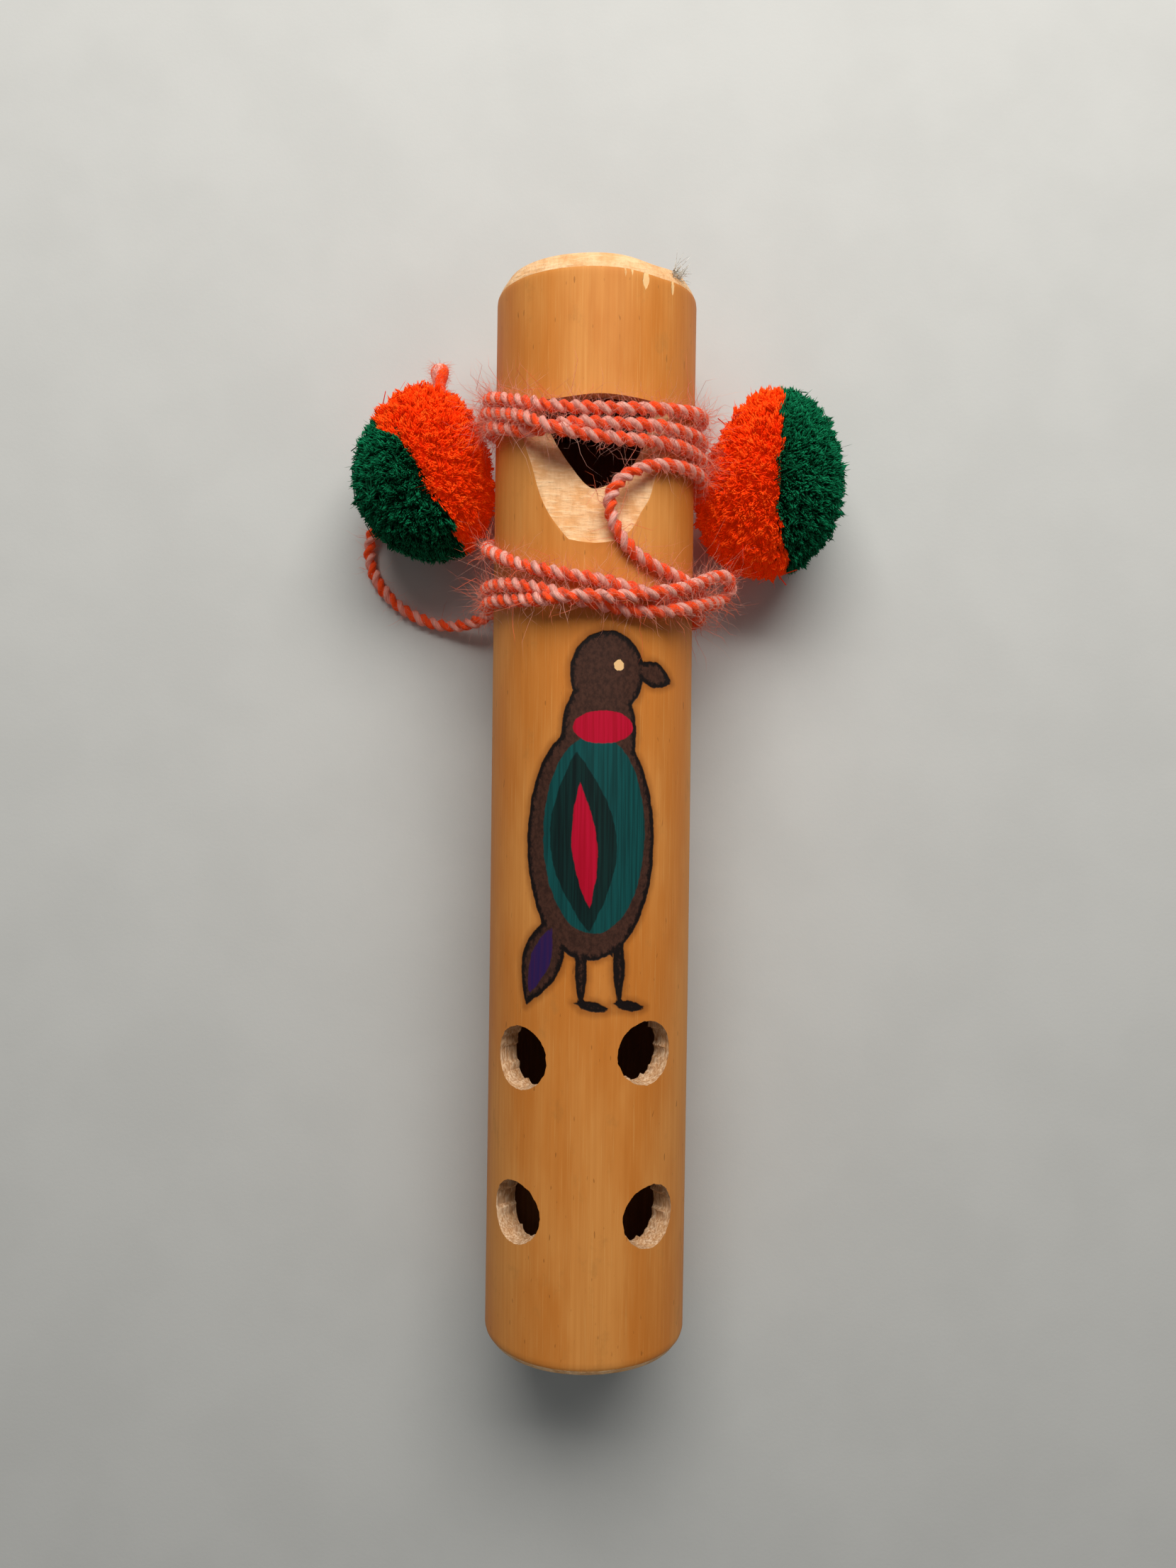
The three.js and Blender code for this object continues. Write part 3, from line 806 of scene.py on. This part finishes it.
def spun_tube(name):
    """Draws the wall's outline by extruding a point, then spins it round the tube's axis."""
    rim_radius = TUBE_RADIUS - MOUTH_CHAMFER_RADIAL
    foot_radius = TUBE_RADIUS - FOOT_CHAMFER_RADIAL
    before_wall = [
        (4.0, NODE_OUTER_Y - 0.2), (FOOT_RECESS_RADIUS - NODE_FILLET, NODE_OUTER_Y - 0.1),
        (FOOT_RECESS_RADIUS - 0.4, NODE_OUTER_Y - 0.5), (FOOT_RECESS_RADIUS, NODE_OUTER_Y - NODE_FILLET),
        (FOOT_RECESS_RADIUS, FOOT_Y + 2.0), (FOOT_RECESS_RADIUS, FOOT_Y), (foot_radius - 0.6, FOOT_Y),
        (foot_radius, FOOT_Y + 0.15), (TUBE_RADIUS - 0.15, FOOT_Y + FOOT_CHAMFER_AXIAL),
        (TUBE_RADIUS, FOOT_Y + FOOT_CHAMFER_AXIAL + 0.5),
    ]
    wall_top = MOUTH_Y - MOUTH_CHAMFER_AXIAL - 0.5
    after_wall = [
        (TUBE_RADIUS - 0.06, MOUTH_Y - MOUTH_CHAMFER_AXIAL), (13.55, MOUTH_Y - 1.45),
        (13.1, MOUTH_Y - 0.75), (rim_radius, MOUTH_Y), (BORE_RADIUS_HEAD + 0.15, MOUTH_Y),
        (BORE_RADIUS_HEAD, MOUTH_Y - 0.3),
    ]
    after_wall += [(BORE_RADIUS_HEAD, y) for y in (66, 58, 52, 46, 42)]
    after_wall += [(BORE_RADIUS_HEAD, BORE_TAPER_FROM_Y)]
    for share in (0.15, 0.3, 0.45, 0.6, 0.75, 0.9):
        radius = BORE_RADIUS_HEAD + share * (BORE_RADIUS_FOOT - BORE_RADIUS_HEAD)
        y = BORE_TAPER_FROM_Y + share * (NODE_INNER_Y + NODE_FILLET - BORE_TAPER_FROM_Y)
        after_wall.append((radius, y))
    after_wall += [
        (BORE_RADIUS_FOOT, NODE_INNER_Y + NODE_FILLET), (BORE_RADIUS_FOOT - 0.4, NODE_INNER_Y + 0.4),
        (BORE_RADIUS_FOOT - NODE_FILLET, NODE_INNER_Y), (4.0, NODE_INNER_Y + 0.2), (0.0, NODE_INNER_Y + 0.3),
    ]
    deselect_all()
    bpy.ops.mesh.primitive_plane_add(size=MM, location=(0, NODE_OUTER_Y * MM, 0))
    tube = bpy.context.object
    tube.name = tube.data.name = name
    apply_place(tube)
    bpy.ops.object.mode_set(mode="EDIT")
    bpy.ops.mesh.select_all(action="SELECT")
    bpy.ops.mesh.merge(type="CENTER")
    here = (0.0, NODE_OUTER_Y)

    def draw_to(point):
        step = ((point[0] - here[0]) * MM, (point[1] - here[1]) * MM, 0)
        bpy.ops.mesh.extrude_region_move(TRANSFORM_OT_translate={"value": step})
        return point

    for point in before_wall:
        here = draw_to(point)
    rings = int(round((wall_top - here[1]) / WALL_STEP))
    rise = (wall_top - here[1]) / rings * MM
    bpy.ops.mesh.extrude_repeat(steps=rings, offset=(0, rise, 0))
    here = (TUBE_RADIUS, wall_top)
    for point in after_wall:
        here = draw_to(point)
    bpy.ops.mesh.select_all(action="SELECT")
    bpy.ops.mesh.spin(steps=TUBE_STEPS, angle=2 * math.pi, center=(0, 0, 0), axis=(0, 1, 0))
    bpy.ops.mesh.select_all(action="SELECT")
    bpy.ops.mesh.remove_doubles(threshold=0.01 * MM)
    bpy.ops.mesh.normals_make_consistent(inside=False)
    bpy.ops.object.mode_set(mode="OBJECT")
    return tube


def give_tube_materials(tube):
    """Skin on the outside, bare cut bamboo on both ends and chamfers, inner skin in the bore."""
    for name in ("skin", "cut", "inner"):
        tube.data.materials.append(MATERIALS[name])
    for face in tube.data.polygons:
        x, y, z = (c / MM for c in face.center)
        radius = math.hypot(x, z)
        at_end = y > MOUTH_Y - MOUTH_CHAMFER_AXIAL or y < FOOT_Y + FOOT_CHAMFER_AXIAL
        in_bore = radius < BORE_RADIUS_HEAD + 0.05 and FOOT_Y + 3 < y < MOUTH_Y - 0.4
        face.material_index = 1 if at_end and not in_bore else (2 if in_bore or radius < 11 else 0)


def hand_made_unevenness(tube):
    """A grown culm isn't turned: its wall wanders a tenth of a millimetre, and the saw dipped."""
    for vertex in tube.data.vertices:
        x, y, z = (c / MM for c in vertex.co)
        turn = math.atan2(x, z)
        grown = 0.07 * math.sin(2 * turn + 0.02 * y) + 0.04 * math.sin(5 * turn + 1.3 + 0.05 * y)
        share = 1 + grown / TUBE_RADIUS
        vertex.co.x *= share
        vertex.co.z *= share
        if math.hypot(x, z) < TUBE_RADIUS - 1:
            vertex.co.x += BORE_WANDER * math.exp(-((y - BORE_WANDER_Y) / BORE_WANDER_REACH) ** 4) * MM
        near_mouth = min(max((y - 66) / 7.5, 0), 1)
        dip = math.exp(-((math.degrees(turn) - 36) / 17) ** 2)
        vertex.co.y -= 0.55 * dip * near_mouth * MM


def window_cutter():
    """A wedge above the ramp, from its tip to the saw cut."""
    deselect_all()
    bpy.ops.mesh.primitive_cube_add(size=1)
    wedge = bpy.context.object
    start_z = TUBE_RADIUS + 2
    start_y = RAMP_TIP_Y - (start_z - TUBE_RADIUS) / RAMP_SLOPE
    saw_z = TUBE_RADIUS - RAMP_SLOPE * (WINDOW_SAW_Y - RAMP_TIP_Y)
    for vertex in wedge.data.vertices:
        at_saw = vertex.co.y > 0
        low = saw_z if at_saw else start_z
        vertex.co.x = math.copysign(15.5 * MM, vertex.co.x)
        vertex.co.z = (low if vertex.co.z < 0 else 20.0) * MM
        vertex.co.y = (WINDOW_SAW_Y if at_saw else start_y) * MM
    bpy.ops.object.mode_set(mode="EDIT")
    bpy.ops.mesh.select_all(action="SELECT")
    bpy.ops.mesh.subdivide(number_cuts=30)
    bpy.ops.object.mode_set(mode="OBJECT")
    for vertex in wedge.data.vertices:
        x, y = vertex.co.x / MM, vertex.co.y / MM
        if vertex.co.z < 19 * MM:
            vertex.co.z += 1.2 * min(max(RAMP_STOP_Y - y, 0), 1) * MM
            chatter = 0.05 * math.sin(y * 7.5 + 0.4 * math.sin(x * 1.7)) + 0.05 * math.sin(x * 0.9 + y)
            vertex.co.z += chatter * MM
        if y > WINDOW_SAW_Y - 0.01:
            vertex.co.y += (0.18 * math.sin(x * 0.42 + 0.8) + 0.10 * math.exp(-(x / 2.2) ** 2)) * MM
    wedge.data.materials.append(MATERIALS["cut"])
    return wedge


def finger_hole_cutter(angle, y, seed):
    """A drill's path square to the wall, left ragged."""
    deselect_all()
    depth = 10.0
    bpy.ops.mesh.primitive_cylinder_add(
        vertices=56, radius=HOLE_RADIUS * MM, depth=MM, location=(0, 0, 8.5 * MM),
    )
    drill = bpy.context.object
    apply_place(drill)
    bpy.ops.object.mode_set(mode="EDIT")
    bpy.ops.mesh.select_all(action="DESELECT")
    bpy.ops.object.mode_set(mode="OBJECT")
    for face in drill.data.polygons:
        face.select = face.normal.z > 0.9
    bpy.ops.object.mode_set(mode="EDIT")
    bpy.ops.mesh.select_mode(type="FACE")
    rings = 26
    bpy.ops.mesh.extrude_repeat(steps=rings, offset=(0, 0, depth / rings * MM))
    bpy.ops.mesh.select_all(action="SELECT")
    bpy.ops.transform.vertex_random(offset=0.12 * MM, uniform=0.0, normal=0.0, seed=seed)
    bpy.ops.object.mode_set(mode="OBJECT")
    for vertex in drill.data.vertices:
        turn = math.atan2(vertex.co.y, vertex.co.x)
        near_bore = min(max((13.6 - vertex.co.z / MM) / 1.8, 0), 1)
        torn = max(math.sin(9 * turn + seed) + math.sin(16 * turn + 2 * seed), 0)
        share = 1 - 0.07 * near_bore * torn
        vertex.co.x *= share
        vertex.co.y *= share
    drill.data.transform(Matrix.Translation((0, y * MM, 0)) @ Matrix.Rotation(math.radians(angle), 4, "Y"))
    drill.data.materials.append(MATERIALS["drilled"])
    return drill


def cut_with(piece, cutter):
    """Takes the cutter's shape out of the piece; the new faces keep the cutter's material."""
    apply_modifier(
        piece, "BOOLEAN", object=cutter, operation="DIFFERENCE", solver="EXACT", material_mode="TRANSFER",
    )
    bpy.data.objects.remove(cutter)


def oval(x, y, half_width, half_height):
    turn = np.linspace(0, 2 * math.pi, 48, endpoint=False)
    return np.stack([x + half_width * np.cos(turn), y + half_height * np.sin(turn)], axis=1)


def leaf(start, end, width):
    """The outline of a pointed leaf that runs from start to end."""
    start, end = np.array(start, float), np.array(end, float)
    share = np.linspace(0, 1, 24)[:, None]
    along = end - start
    across = np.array([-along[1], along[0]]) / np.linalg.norm(along)
    middle = start + share * along
    bulge = np.sin(math.pi * share) * width / 2 * across
    return np.concatenate([middle + bulge, (middle - bulge)[-2:0:-1]])


# A plain bird in ovals and leaves, unrolled: (millimetres round the tube from the front, y).
BIRD = {
    "burnt": [
        oval(0, -3, 9, 15.5), oval(1, 11, 5, 8), oval(2, 19, 5, 5.5),
        leaf((5, 20), (12, 18), 3.4), leaf((-4, -12), (-9, -25), 6),
        leaf((-1, -15), (-1, -25), 1.6), leaf((4, -14), (4, -25), 1.6),
        leaf((-2, -24), (3, -25), 1.4), leaf((3, -24), (8, -25), 1.4),
    ],
    "teal": [oval(0.5, -2, 7, 13)],
    "dark": [leaf((-2, 9), (0, -15), 9)],
    "purple": [leaf((-5, -14), (-8.5, -23.5), 3)],
    "crimson": [leaf((-1.5, 5), (0, -12), 3.4), oval(1.5, 12, 4, 2.2)],
    "chipped": [
        oval(3.5, 20, 0.8, 0.8),
        leaf((3.5, 72), (3.5, 69), 0.5), leaf((4.5, 72), (4.5, 70), 0.5),
        leaf((6.5, 72), (6.5, 68.5), 1), leaf((11, 72), (11, 69), 0.6),
    ],
}
FAR_OFF = 4.0                   # distances are kept no larger than this


def inside_distance(points, outline):
    """Distance to the outline, positive inside it."""
    a, b = outline, np.roll(outline, -1, axis=0)
    edge = b - a
    gap = points[:, None] - a[None]
    share = np.clip((gap * edge).sum(2) / ((edge ** 2).sum(1) + 1e-12), 0, 1)
    distance = np.linalg.norm(gap - share[..., None] * edge, axis=2).min(axis=1)
    spans = (a[None, :, 1] > points[:, None, 1]) != (b[None, :, 1] > points[:, None, 1])
    rise = np.where(np.abs(edge[:, 1]) < 1e-12, 1e-12, edge[:, 1])
    crossing = a[None, :, 0] + (points[:, None, 1] - a[None, :, 1]) / rise[None] * edge[None, :, 0]
    odd = (spans & (points[:, None, 0] < crossing)).sum(axis=1) % 2 == 1
    return np.where(odd, distance, -distance)


def paint_bird(tube):
    """Stores how far each point of the skin lies inside each painted or burnt patch."""
    count = len(tube.data.vertices)
    places = np.zeros(count * 3, np.float32)
    tube.data.vertices.foreach_get("co", places)
    x, y, z = places.reshape(-1, 3).T / MM
    unrolled = np.stack([np.arctan2(x, z) * TUBE_RADIUS, y], axis=1)
    outside = np.hypot(x, z) > TUBE_RADIUS - 0.6
    for name, outlines in BIRD.items():
        field = np.full(count, -FAR_OFF)
        for outline in outlines:
            low, high = outline.min(axis=0) - FAR_OFF, outline.max(axis=0) + FAR_OFF
            near = outside & np.all((unrolled > low) & (unrolled < high), axis=1)
            field[near] = np.maximum(field[near], inside_distance(unrolled[near], outline))
        store(tube, name, np.clip(field, -FAR_OFF, FAR_OFF))


def bamboo_tube():
    tube = spun_tube("bamboo_tube")
    give_tube_materials(tube)
    hand_made_unevenness(tube)
    cut_with(tube, window_cutter())
    for number, (angle, y) in enumerate(FINGER_HOLES):
        cut_with(tube, finger_hole_cutter(angle, y, number))
    paint_bird(tube)
    make_active(tube)
    bpy.ops.object.shade_smooth_by_angle(angle=math.radians(38))
    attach(tube, "flute")
    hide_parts("bamboo_body")


bamboo_tube()


def fipple_plug():
    """A turned dowel with a flat cut along its top and its edges eased."""
    deselect_all()
    length = MOUTH_Y - PLUG_SET_BACK - PLUG_INNER_Y
    bpy.ops.mesh.primitive_cylinder_add(
        vertices=96, radius=PLUG_RADIUS * MM, depth=length * MM,
        location=(0, (PLUG_INNER_Y + length / 2) * MM, 0), rotation=(math.pi / 2, 0, 0),
    )
    plug = bpy.context.object
    plug.name = plug.data.name = "fipple_plug_wood"
    apply_place(plug)
    bpy.ops.object.mode_set(mode="EDIT")
    bpy.ops.mesh.select_all(action="SELECT")
    bpy.ops.mesh.bisect(
        plane_co=(0, 0, PLUG_FLAT_Z * MM), plane_no=(0, PLUG_FLAT_SLOPE, 1), use_fill=True, clear_outer=True,
    )
    bpy.ops.object.mode_set(mode="OBJECT")
    apply_modifier(
        plug, "BEVEL", width=0.3 * MM, segments=3, limit_method="ANGLE", angle_limit=math.radians(40),
    )
    plug.data.materials.append(MATERIALS["plug"])
    make_active(plug)
    bpy.ops.object.shade_smooth_by_angle(angle=math.radians(35))
    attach(plug, "flute")
    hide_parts("fipple_plug")


fipple_plug()


BURR_ANGLE = 53                 # degrees round the rim from +Z
BURR_RADIUS = 13.2


def rim_burr():
    """A tuft of torn fibres on the mouth's rim."""
    count = 70
    turn = np.radians(RNG.normal(BURR_ANGLE, 2.6, count))
    height = RNG.uniform(71.6, 73.0, count)
    roots = np.stack([BURR_RADIUS * np.sin(turn), height, BURR_RADIUS * np.cos(turn)], axis=1)
    ways = RNG.normal(size=(count, 3)) * 0.7 + np.array([0.9, 0.7, 0.9])
    curls = RNG.normal(size=(count, 3)) * 0.9
    burr = hair_mesh(
        "rim_burr", roots, ways * 0.8, curls * 0.7, RNG.uniform(0.03, 0.07, count), np.zeros(count),
        MATERIALS["torn"],
    )
    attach(burr, "flute")


rim_burr()

# ------------------------------------------------------------------ pompoms

POMPOMS = {
    "left": {
        "centre": (-25.1, 48.9, -5.5), "half": (10.8, 12.2, 11.0),
        "trim": [(15, -0.09), (80, 0.04), (150, -0.12), (230, -0.05), (315, 0.10)],
        "split": [(-37.0, 60.4), (-31.0, 54.6), (-25.2, 49.8), (-23.4, 44.6), (-20.0, 41.2), (-17.0, 34.6)],
    },
    "right": {
        "centre": (25.7, 48.5, -5.5), "half": (10.85, 13.4, 11.0),
        "trim": [(20, -0.05), (150, -0.16), (225, 0.12)],
        "split": [(26.4, 61.0), (25.6, 54.0), (25.0, 47.0), (25.4, 41.0), (28.4, 34.6)],
    },
}
WOOL_CLEAR = 14.25              # nearest that wool comes to the tube's axis
WOOL_CLEAR_OF_CORD = 16.1       # the same, beside the upper winding
BESIDE_WINDING = (47.5, 59.5)   # the upper winding lies between these, along y
BALL_RADIUS = 11                # about what a pompom measures; turns a direction into millimetres
YARN_END_RADIUS = 0.42
STRAY_SHARE = 0.035             # fibres that the scissors missed
STRAY_LENGTH = 1.6
CORE_SHARE = 0.88               # size of the dense middle, where the fibres are too tight to see apart
PILE = {
    "orange": {"fibres": 31000, "ends": 2400, "thick": (0.08, 0.125), "lumpy": 0.34, "ragged": 0.13},
    "green": {"fibres": 31000, "ends": 2600, "thick": (0.08, 0.12), "lumpy": 0.32, "ragged": 0.16},
}


def even_directions(count):
    """Directions spread evenly over a ball."""
    index = np.arange(count) + 0.5
    polar = np.arccos(1 - 2 * index / count)
    turn = math.pi * (1 + 5 ** 0.5) * index
    return np.stack([np.cos(turn) * np.sin(polar), np.sin(turn) * np.sin(polar), np.cos(polar)], axis=1)


def clear_of_flute(points):
    """Presses wool back from the tube, the upper winding and the table."""
    kept = points.copy()
    radius = np.hypot(kept[:, 0], kept[:, 2])
    by_cord = (kept[:, 1] > BESIDE_WINDING[0]) & (kept[:, 1] < BESIDE_WINDING[1])
    clear = np.where(by_cord, WOOL_CLEAR_OF_CORD, WOOL_CLEAR)
    outward = np.maximum(clear / np.maximum(radius, 1e-6), 1)
    kept[:, 0] *= outward
    kept[:, 2] *= outward
    kept[:, 2] = np.maximum(kept[:, 2], table_height(kept[:, 1]) + 0.02)
    return kept


def split_side(points, split):
    """Signed distance in x from the line between the two colours, at each point's y."""
    ys = [p[1] for p in split][::-1]
    xs = [p[0] for p in split][::-1]
    return points[:, 0] - np.interp(points[:, 1], ys, xs)


def trimmed(ways, pompom):
    """Points on the pompom's outline: an oval that the scissors left fuller or flatter here and there.

    trim holds (direction in degrees from +X towards +Y, share of the radius left on or taken off).
    """
    turn = np.arctan2(ways[:, 1], ways[:, 0])
    extra = np.zeros(len(ways))
    for direction, amount in pompom["trim"]:
        extra += amount * np.maximum(np.cos(turn - math.radians(direction)), 0) ** 3
    flat = np.hypot(ways[:, 0], ways[:, 1])
    return ways * np.array(pompom["half"]) * (1 + extra * flat)[:, None]


def nearest_end(ways, ends):
    """For each direction, the number of the nearest yarn end."""
    tree = kdtree.KDTree(len(ends))
    for number, end in enumerate(ends):
        tree.insert(end, number)
    tree.balance()
    return np.array([tree.find(way)[1] for way in ways])


def pile_half(side, colour, pompom):
    """One colour of a pompom: thousands of cut fibres that stand in yarn ends."""
    centre = np.array(pompom["centre"])
    pile = PILE[colour]
    sign = -1 if (side == "right") == (colour == "orange") else 1
    ways = unit(even_directions(pile["fibres"]) + RNG.normal(size=(pile["fibres"], 3)) * 0.012)
    ends = unit(even_directions(pile["ends"]) + RNG.normal(size=(pile["ends"], 3)) * 0.03)
    skin = trimmed(ways, pompom)
    wobble = 0.35 * np.sin(skin[:, 1] * 1.7) + 0.3 * np.sin(skin[:, 2] * 1.3 + skin[:, 1])
    wanted = sign * (split_side(centre + skin, pompom["split"]) + wobble) > 0
    ways, skin = ways[wanted], skin[wanted]
    end = nearest_end(ways, ends)
    end_way = ends[end]
    off_end = np.linalg.norm(ways - end_way, axis=1) * BALL_RADIUS
    stands = RNG.normal(size=pile["ends"])[end] * pile["lumpy"]
    stands -= 1.1 * pile["lumpy"] * np.clip(off_end / YARN_END_RADIUS, 0, 1.4) ** 2
    stands += RNG.normal(size=len(ways)) * pile["ragged"]
    stray = RNG.random(len(ways)) < STRAY_SHARE
    stands[stray] += STRAY_LENGTH * RNG.beta(1.2, 3.0, stray.sum())
    tips = skin + (end_way - ways) * BALL_RADIUS * 0.2 + ways * stands[:, None]
    length = RNG.uniform(2.0, 2.6, len(ways)) + np.maximum(stands, 0)
    lean = RNG.normal(size=(pile["ends"], 3))[end] * 0.22 + RNG.normal(size=ways.shape) * 0.25
    lean *= np.clip(np.abs(split_side(centre + skin, pompom["split"])) / 1.6, 0.1, 1)[:, None]
    grown = unit(ways + lean) * length[:, None]
    thick = RNG.uniform(*pile["thick"], len(ways))
    thick[stray] *= 0.25
    bright = np.clip(RNG.normal(0.5, 0.25, pile["ends"])[end] + RNG.normal(size=len(ways)) * 0.12, 0, 1)
    piece = hair_mesh(
        f"pompom_{side}_{colour}_wool", centre + tips - grown, grown, RNG.normal(size=ways.shape) * 0.08,
        thick, bright, MATERIALS[f"{colour}_pile"], clear_of_flute, CUT_FIBRE,
    )
    core = pile_core(colour, pompom, sign)
    make_active(piece)
    core.select_set(True)
    bpy.ops.object.join()
    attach(piece, f"{side}_pompom")
    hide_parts(f"pompom_{side}_{colour}")


def pile_core(colour, pompom, sign):
    """The dense middle of one colour: a lumpy ball, cut at the line between the colours, in mostly the dark
    root colour as painted shade.
    """
    deselect_all()
    bpy.ops.mesh.primitive_uv_sphere_add(segments=72, ring_count=48, radius=1)
    core = bpy.context.object
    ball = np.array([vertex.co for vertex in core.data.vertices])
    lumps = 1 + 0.02 * np.sin(ball[:, 0] * 23) * np.sin(ball[:, 1] * 19 + 1) * np.sin(ball[:, 2] * 21 + 2)
    placed = trimmed(ball, pompom) * (CORE_SHARE * lumps)[:, None] + np.array(pompom["centre"])
    placed = clear_of_flute(placed) * MM
    core.data.vertices.foreach_set("co", placed.astype(np.float32).ravel())
    (x0, y0), (x1, y1) = pompom["split"][-4], pompom["split"][-2]
    across = Vector((y0 - y1, x1 - x0, 0)).normalized() * sign
    middle = Vector(((x0 + x1) / 2, (y0 + y1) / 2, 0)) * MM
    bpy.ops.object.mode_set(mode="EDIT")
    bpy.ops.mesh.select_all(action="SELECT")
    bpy.ops.mesh.bisect(plane_co=middle, plane_no=across, use_fill=True, clear_inner=True)
    bpy.ops.mesh.select_all(action="SELECT")
    bpy.ops.mesh.normals_make_consistent(inside=False)
    bpy.ops.object.mode_set(mode="OBJECT")
    core.data.materials.append(MATERIALS[f"{colour}_pile"])
    core.data.shade_smooth()
    count = len(core.data.vertices)
    store(core, "shade", np.full(count, 0.3))
    # Painted shade: depth 0.6 gives the core mostly the dark root colour.
    store(core, "depth", np.full(count, 0.6))
    return core


for side, pompom in POMPOMS.items():
    for colour in PILE:
        pile_half(side, colour, pompom)
    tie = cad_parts[f"pompom_{side}_tie"]
    tie.data.materials.clear()
    tie.data.materials.append(MATERIALS["knot"])


STUB_FOOT = (-22.5, 60.0, -4.0)
STUB_LENGTH = 4.5
STUB_RADIUS = 1.15


def yarn_end():
    """The end of the cord that stands out of the left pompom: a short folded loop of yarn, felted."""
    foot = np.array(STUB_FOOT)
    rings, sides = 18, 20
    share = np.linspace(0, 1, rings)
    swell = np.sqrt(np.maximum(1 - np.clip((share - 0.72) / 0.28, 0, 1) ** 2, 0))
    waist = 1 - 0.16 * np.sin(share * 7.0)
    turn = np.linspace(0, 2 * np.pi, sides, endpoint=False)
    points = [foot]
    strand = [(0, 0, 0)]
    for t, wide in zip(share[:-1], (STUB_RADIUS * swell * waist)[:-1]):
        for angle in turn:
            crease = 1 - 0.14 * math.cos(2 * angle + 2.2 * t)
            reach = wide * crease
            points.append(foot + (reach * math.cos(angle), STUB_LENGTH * t, reach * math.sin(angle)))
            strand.append((0.7 + math.cos(angle + 2.2 * t - 0.5), math.sin(angle), 9 * t))
    points.append(foot + (0, STUB_LENGTH, 0))
    strand.append((1, 0, 9))
    faces = [(0, 1 + (j + 1) % sides, 1 + j)[::-1] for j in range(sides)]
    for i in range(rings - 2):
        for j in range(sides):
            k = (j + 1) % sides
            a, b = 1 + i * sides, 1 + (i + 1) * sides
            faces.append((a + j, b + j, b + k, a + k))
    last = 1 + (rings - 2) * sides
    faces += [(last + j, len(points) - 1, last + (j + 1) % sides) for j in range(sides)]
    end = mesh_piece("cord_left_end_wool", points, faces, MATERIALS["yarn"])
    store(end, "strand", strand, "FLOAT_VECTOR")
    make_active(end)
    bpy.ops.object.mode_set(mode="EDIT")
    bpy.ops.mesh.select_all(action="SELECT")
    bpy.ops.mesh.normals_make_consistent(inside=False)
    bpy.ops.object.mode_set(mode="OBJECT")
    count = 420
    angle = RNG.uniform(0, 2 * np.pi, count)
    height = RNG.uniform(0, 4.3, count)
    out = np.stack([np.cos(angle), RNG.normal(0.2, 0.4, count), np.sin(angle)], axis=1)
    roots = foot + np.stack([0.85 * np.cos(angle), height, 0.85 * np.sin(angle)], axis=1)
    fuzz = hair_mesh(
        "cord_left_end_fuzz", roots, unit(out) * RNG.uniform(0.4, 1.5, (count, 1)),
        RNG.normal(size=(count, 3)) * 0.4, RNG.uniform(0.015, 0.03, count), RNG.random(count),
        MATERIALS["fibre"],
    )
    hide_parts("cord_left_end")
    for piece in (end, fuzz):
        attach(piece, "left_pompom")


yarn_end()

# ------------------------------------------------------------------ table and light


def add_table():
    deselect_all()
    bpy.ops.mesh.primitive_plane_add(size=3.0)
    table = bpy.context.object
    table.name = "table"
    table.data.transform(Matrix.Rotation(-TABLE_TILT, 4, "X"))
    table.data.transform(Matrix.Translation((0, 0, table_height(0) * MM)))
    table.data.materials.append(MATERIALS["card"])


def add_light(name, place, size, power, colour):
    data = bpy.data.lights.new(name, "AREA")
    data.shape = "RECTANGLE"
    data.size, data.size_y = size
    data.energy = power
    data.color = linear(colour)[:3]
    light = bpy.data.objects.new(name, data)
    bpy.context.scene.collection.objects.link(light)
    light.location = place
    light.rotation_euler = (-Vector(place)).to_track_quat("-Z", "Y").to_euler()


def add_world():
    world = bpy.data.worlds.new("studio")
    bpy.context.scene.world = world
    world.use_nodes = True
    background = world.node_tree.nodes["Background"]
    background.inputs["Color"].default_value = linear("#E8EBEA")
    background.inputs["Strength"].default_value = 0.18


add_table()
add_light("window_light", (0.03, 0.31, 0.30), (0.42, 0.22), 2.35, "#FFFAF3")
add_world()
bpy.context.scene.view_settings.view_transform = "Standard"
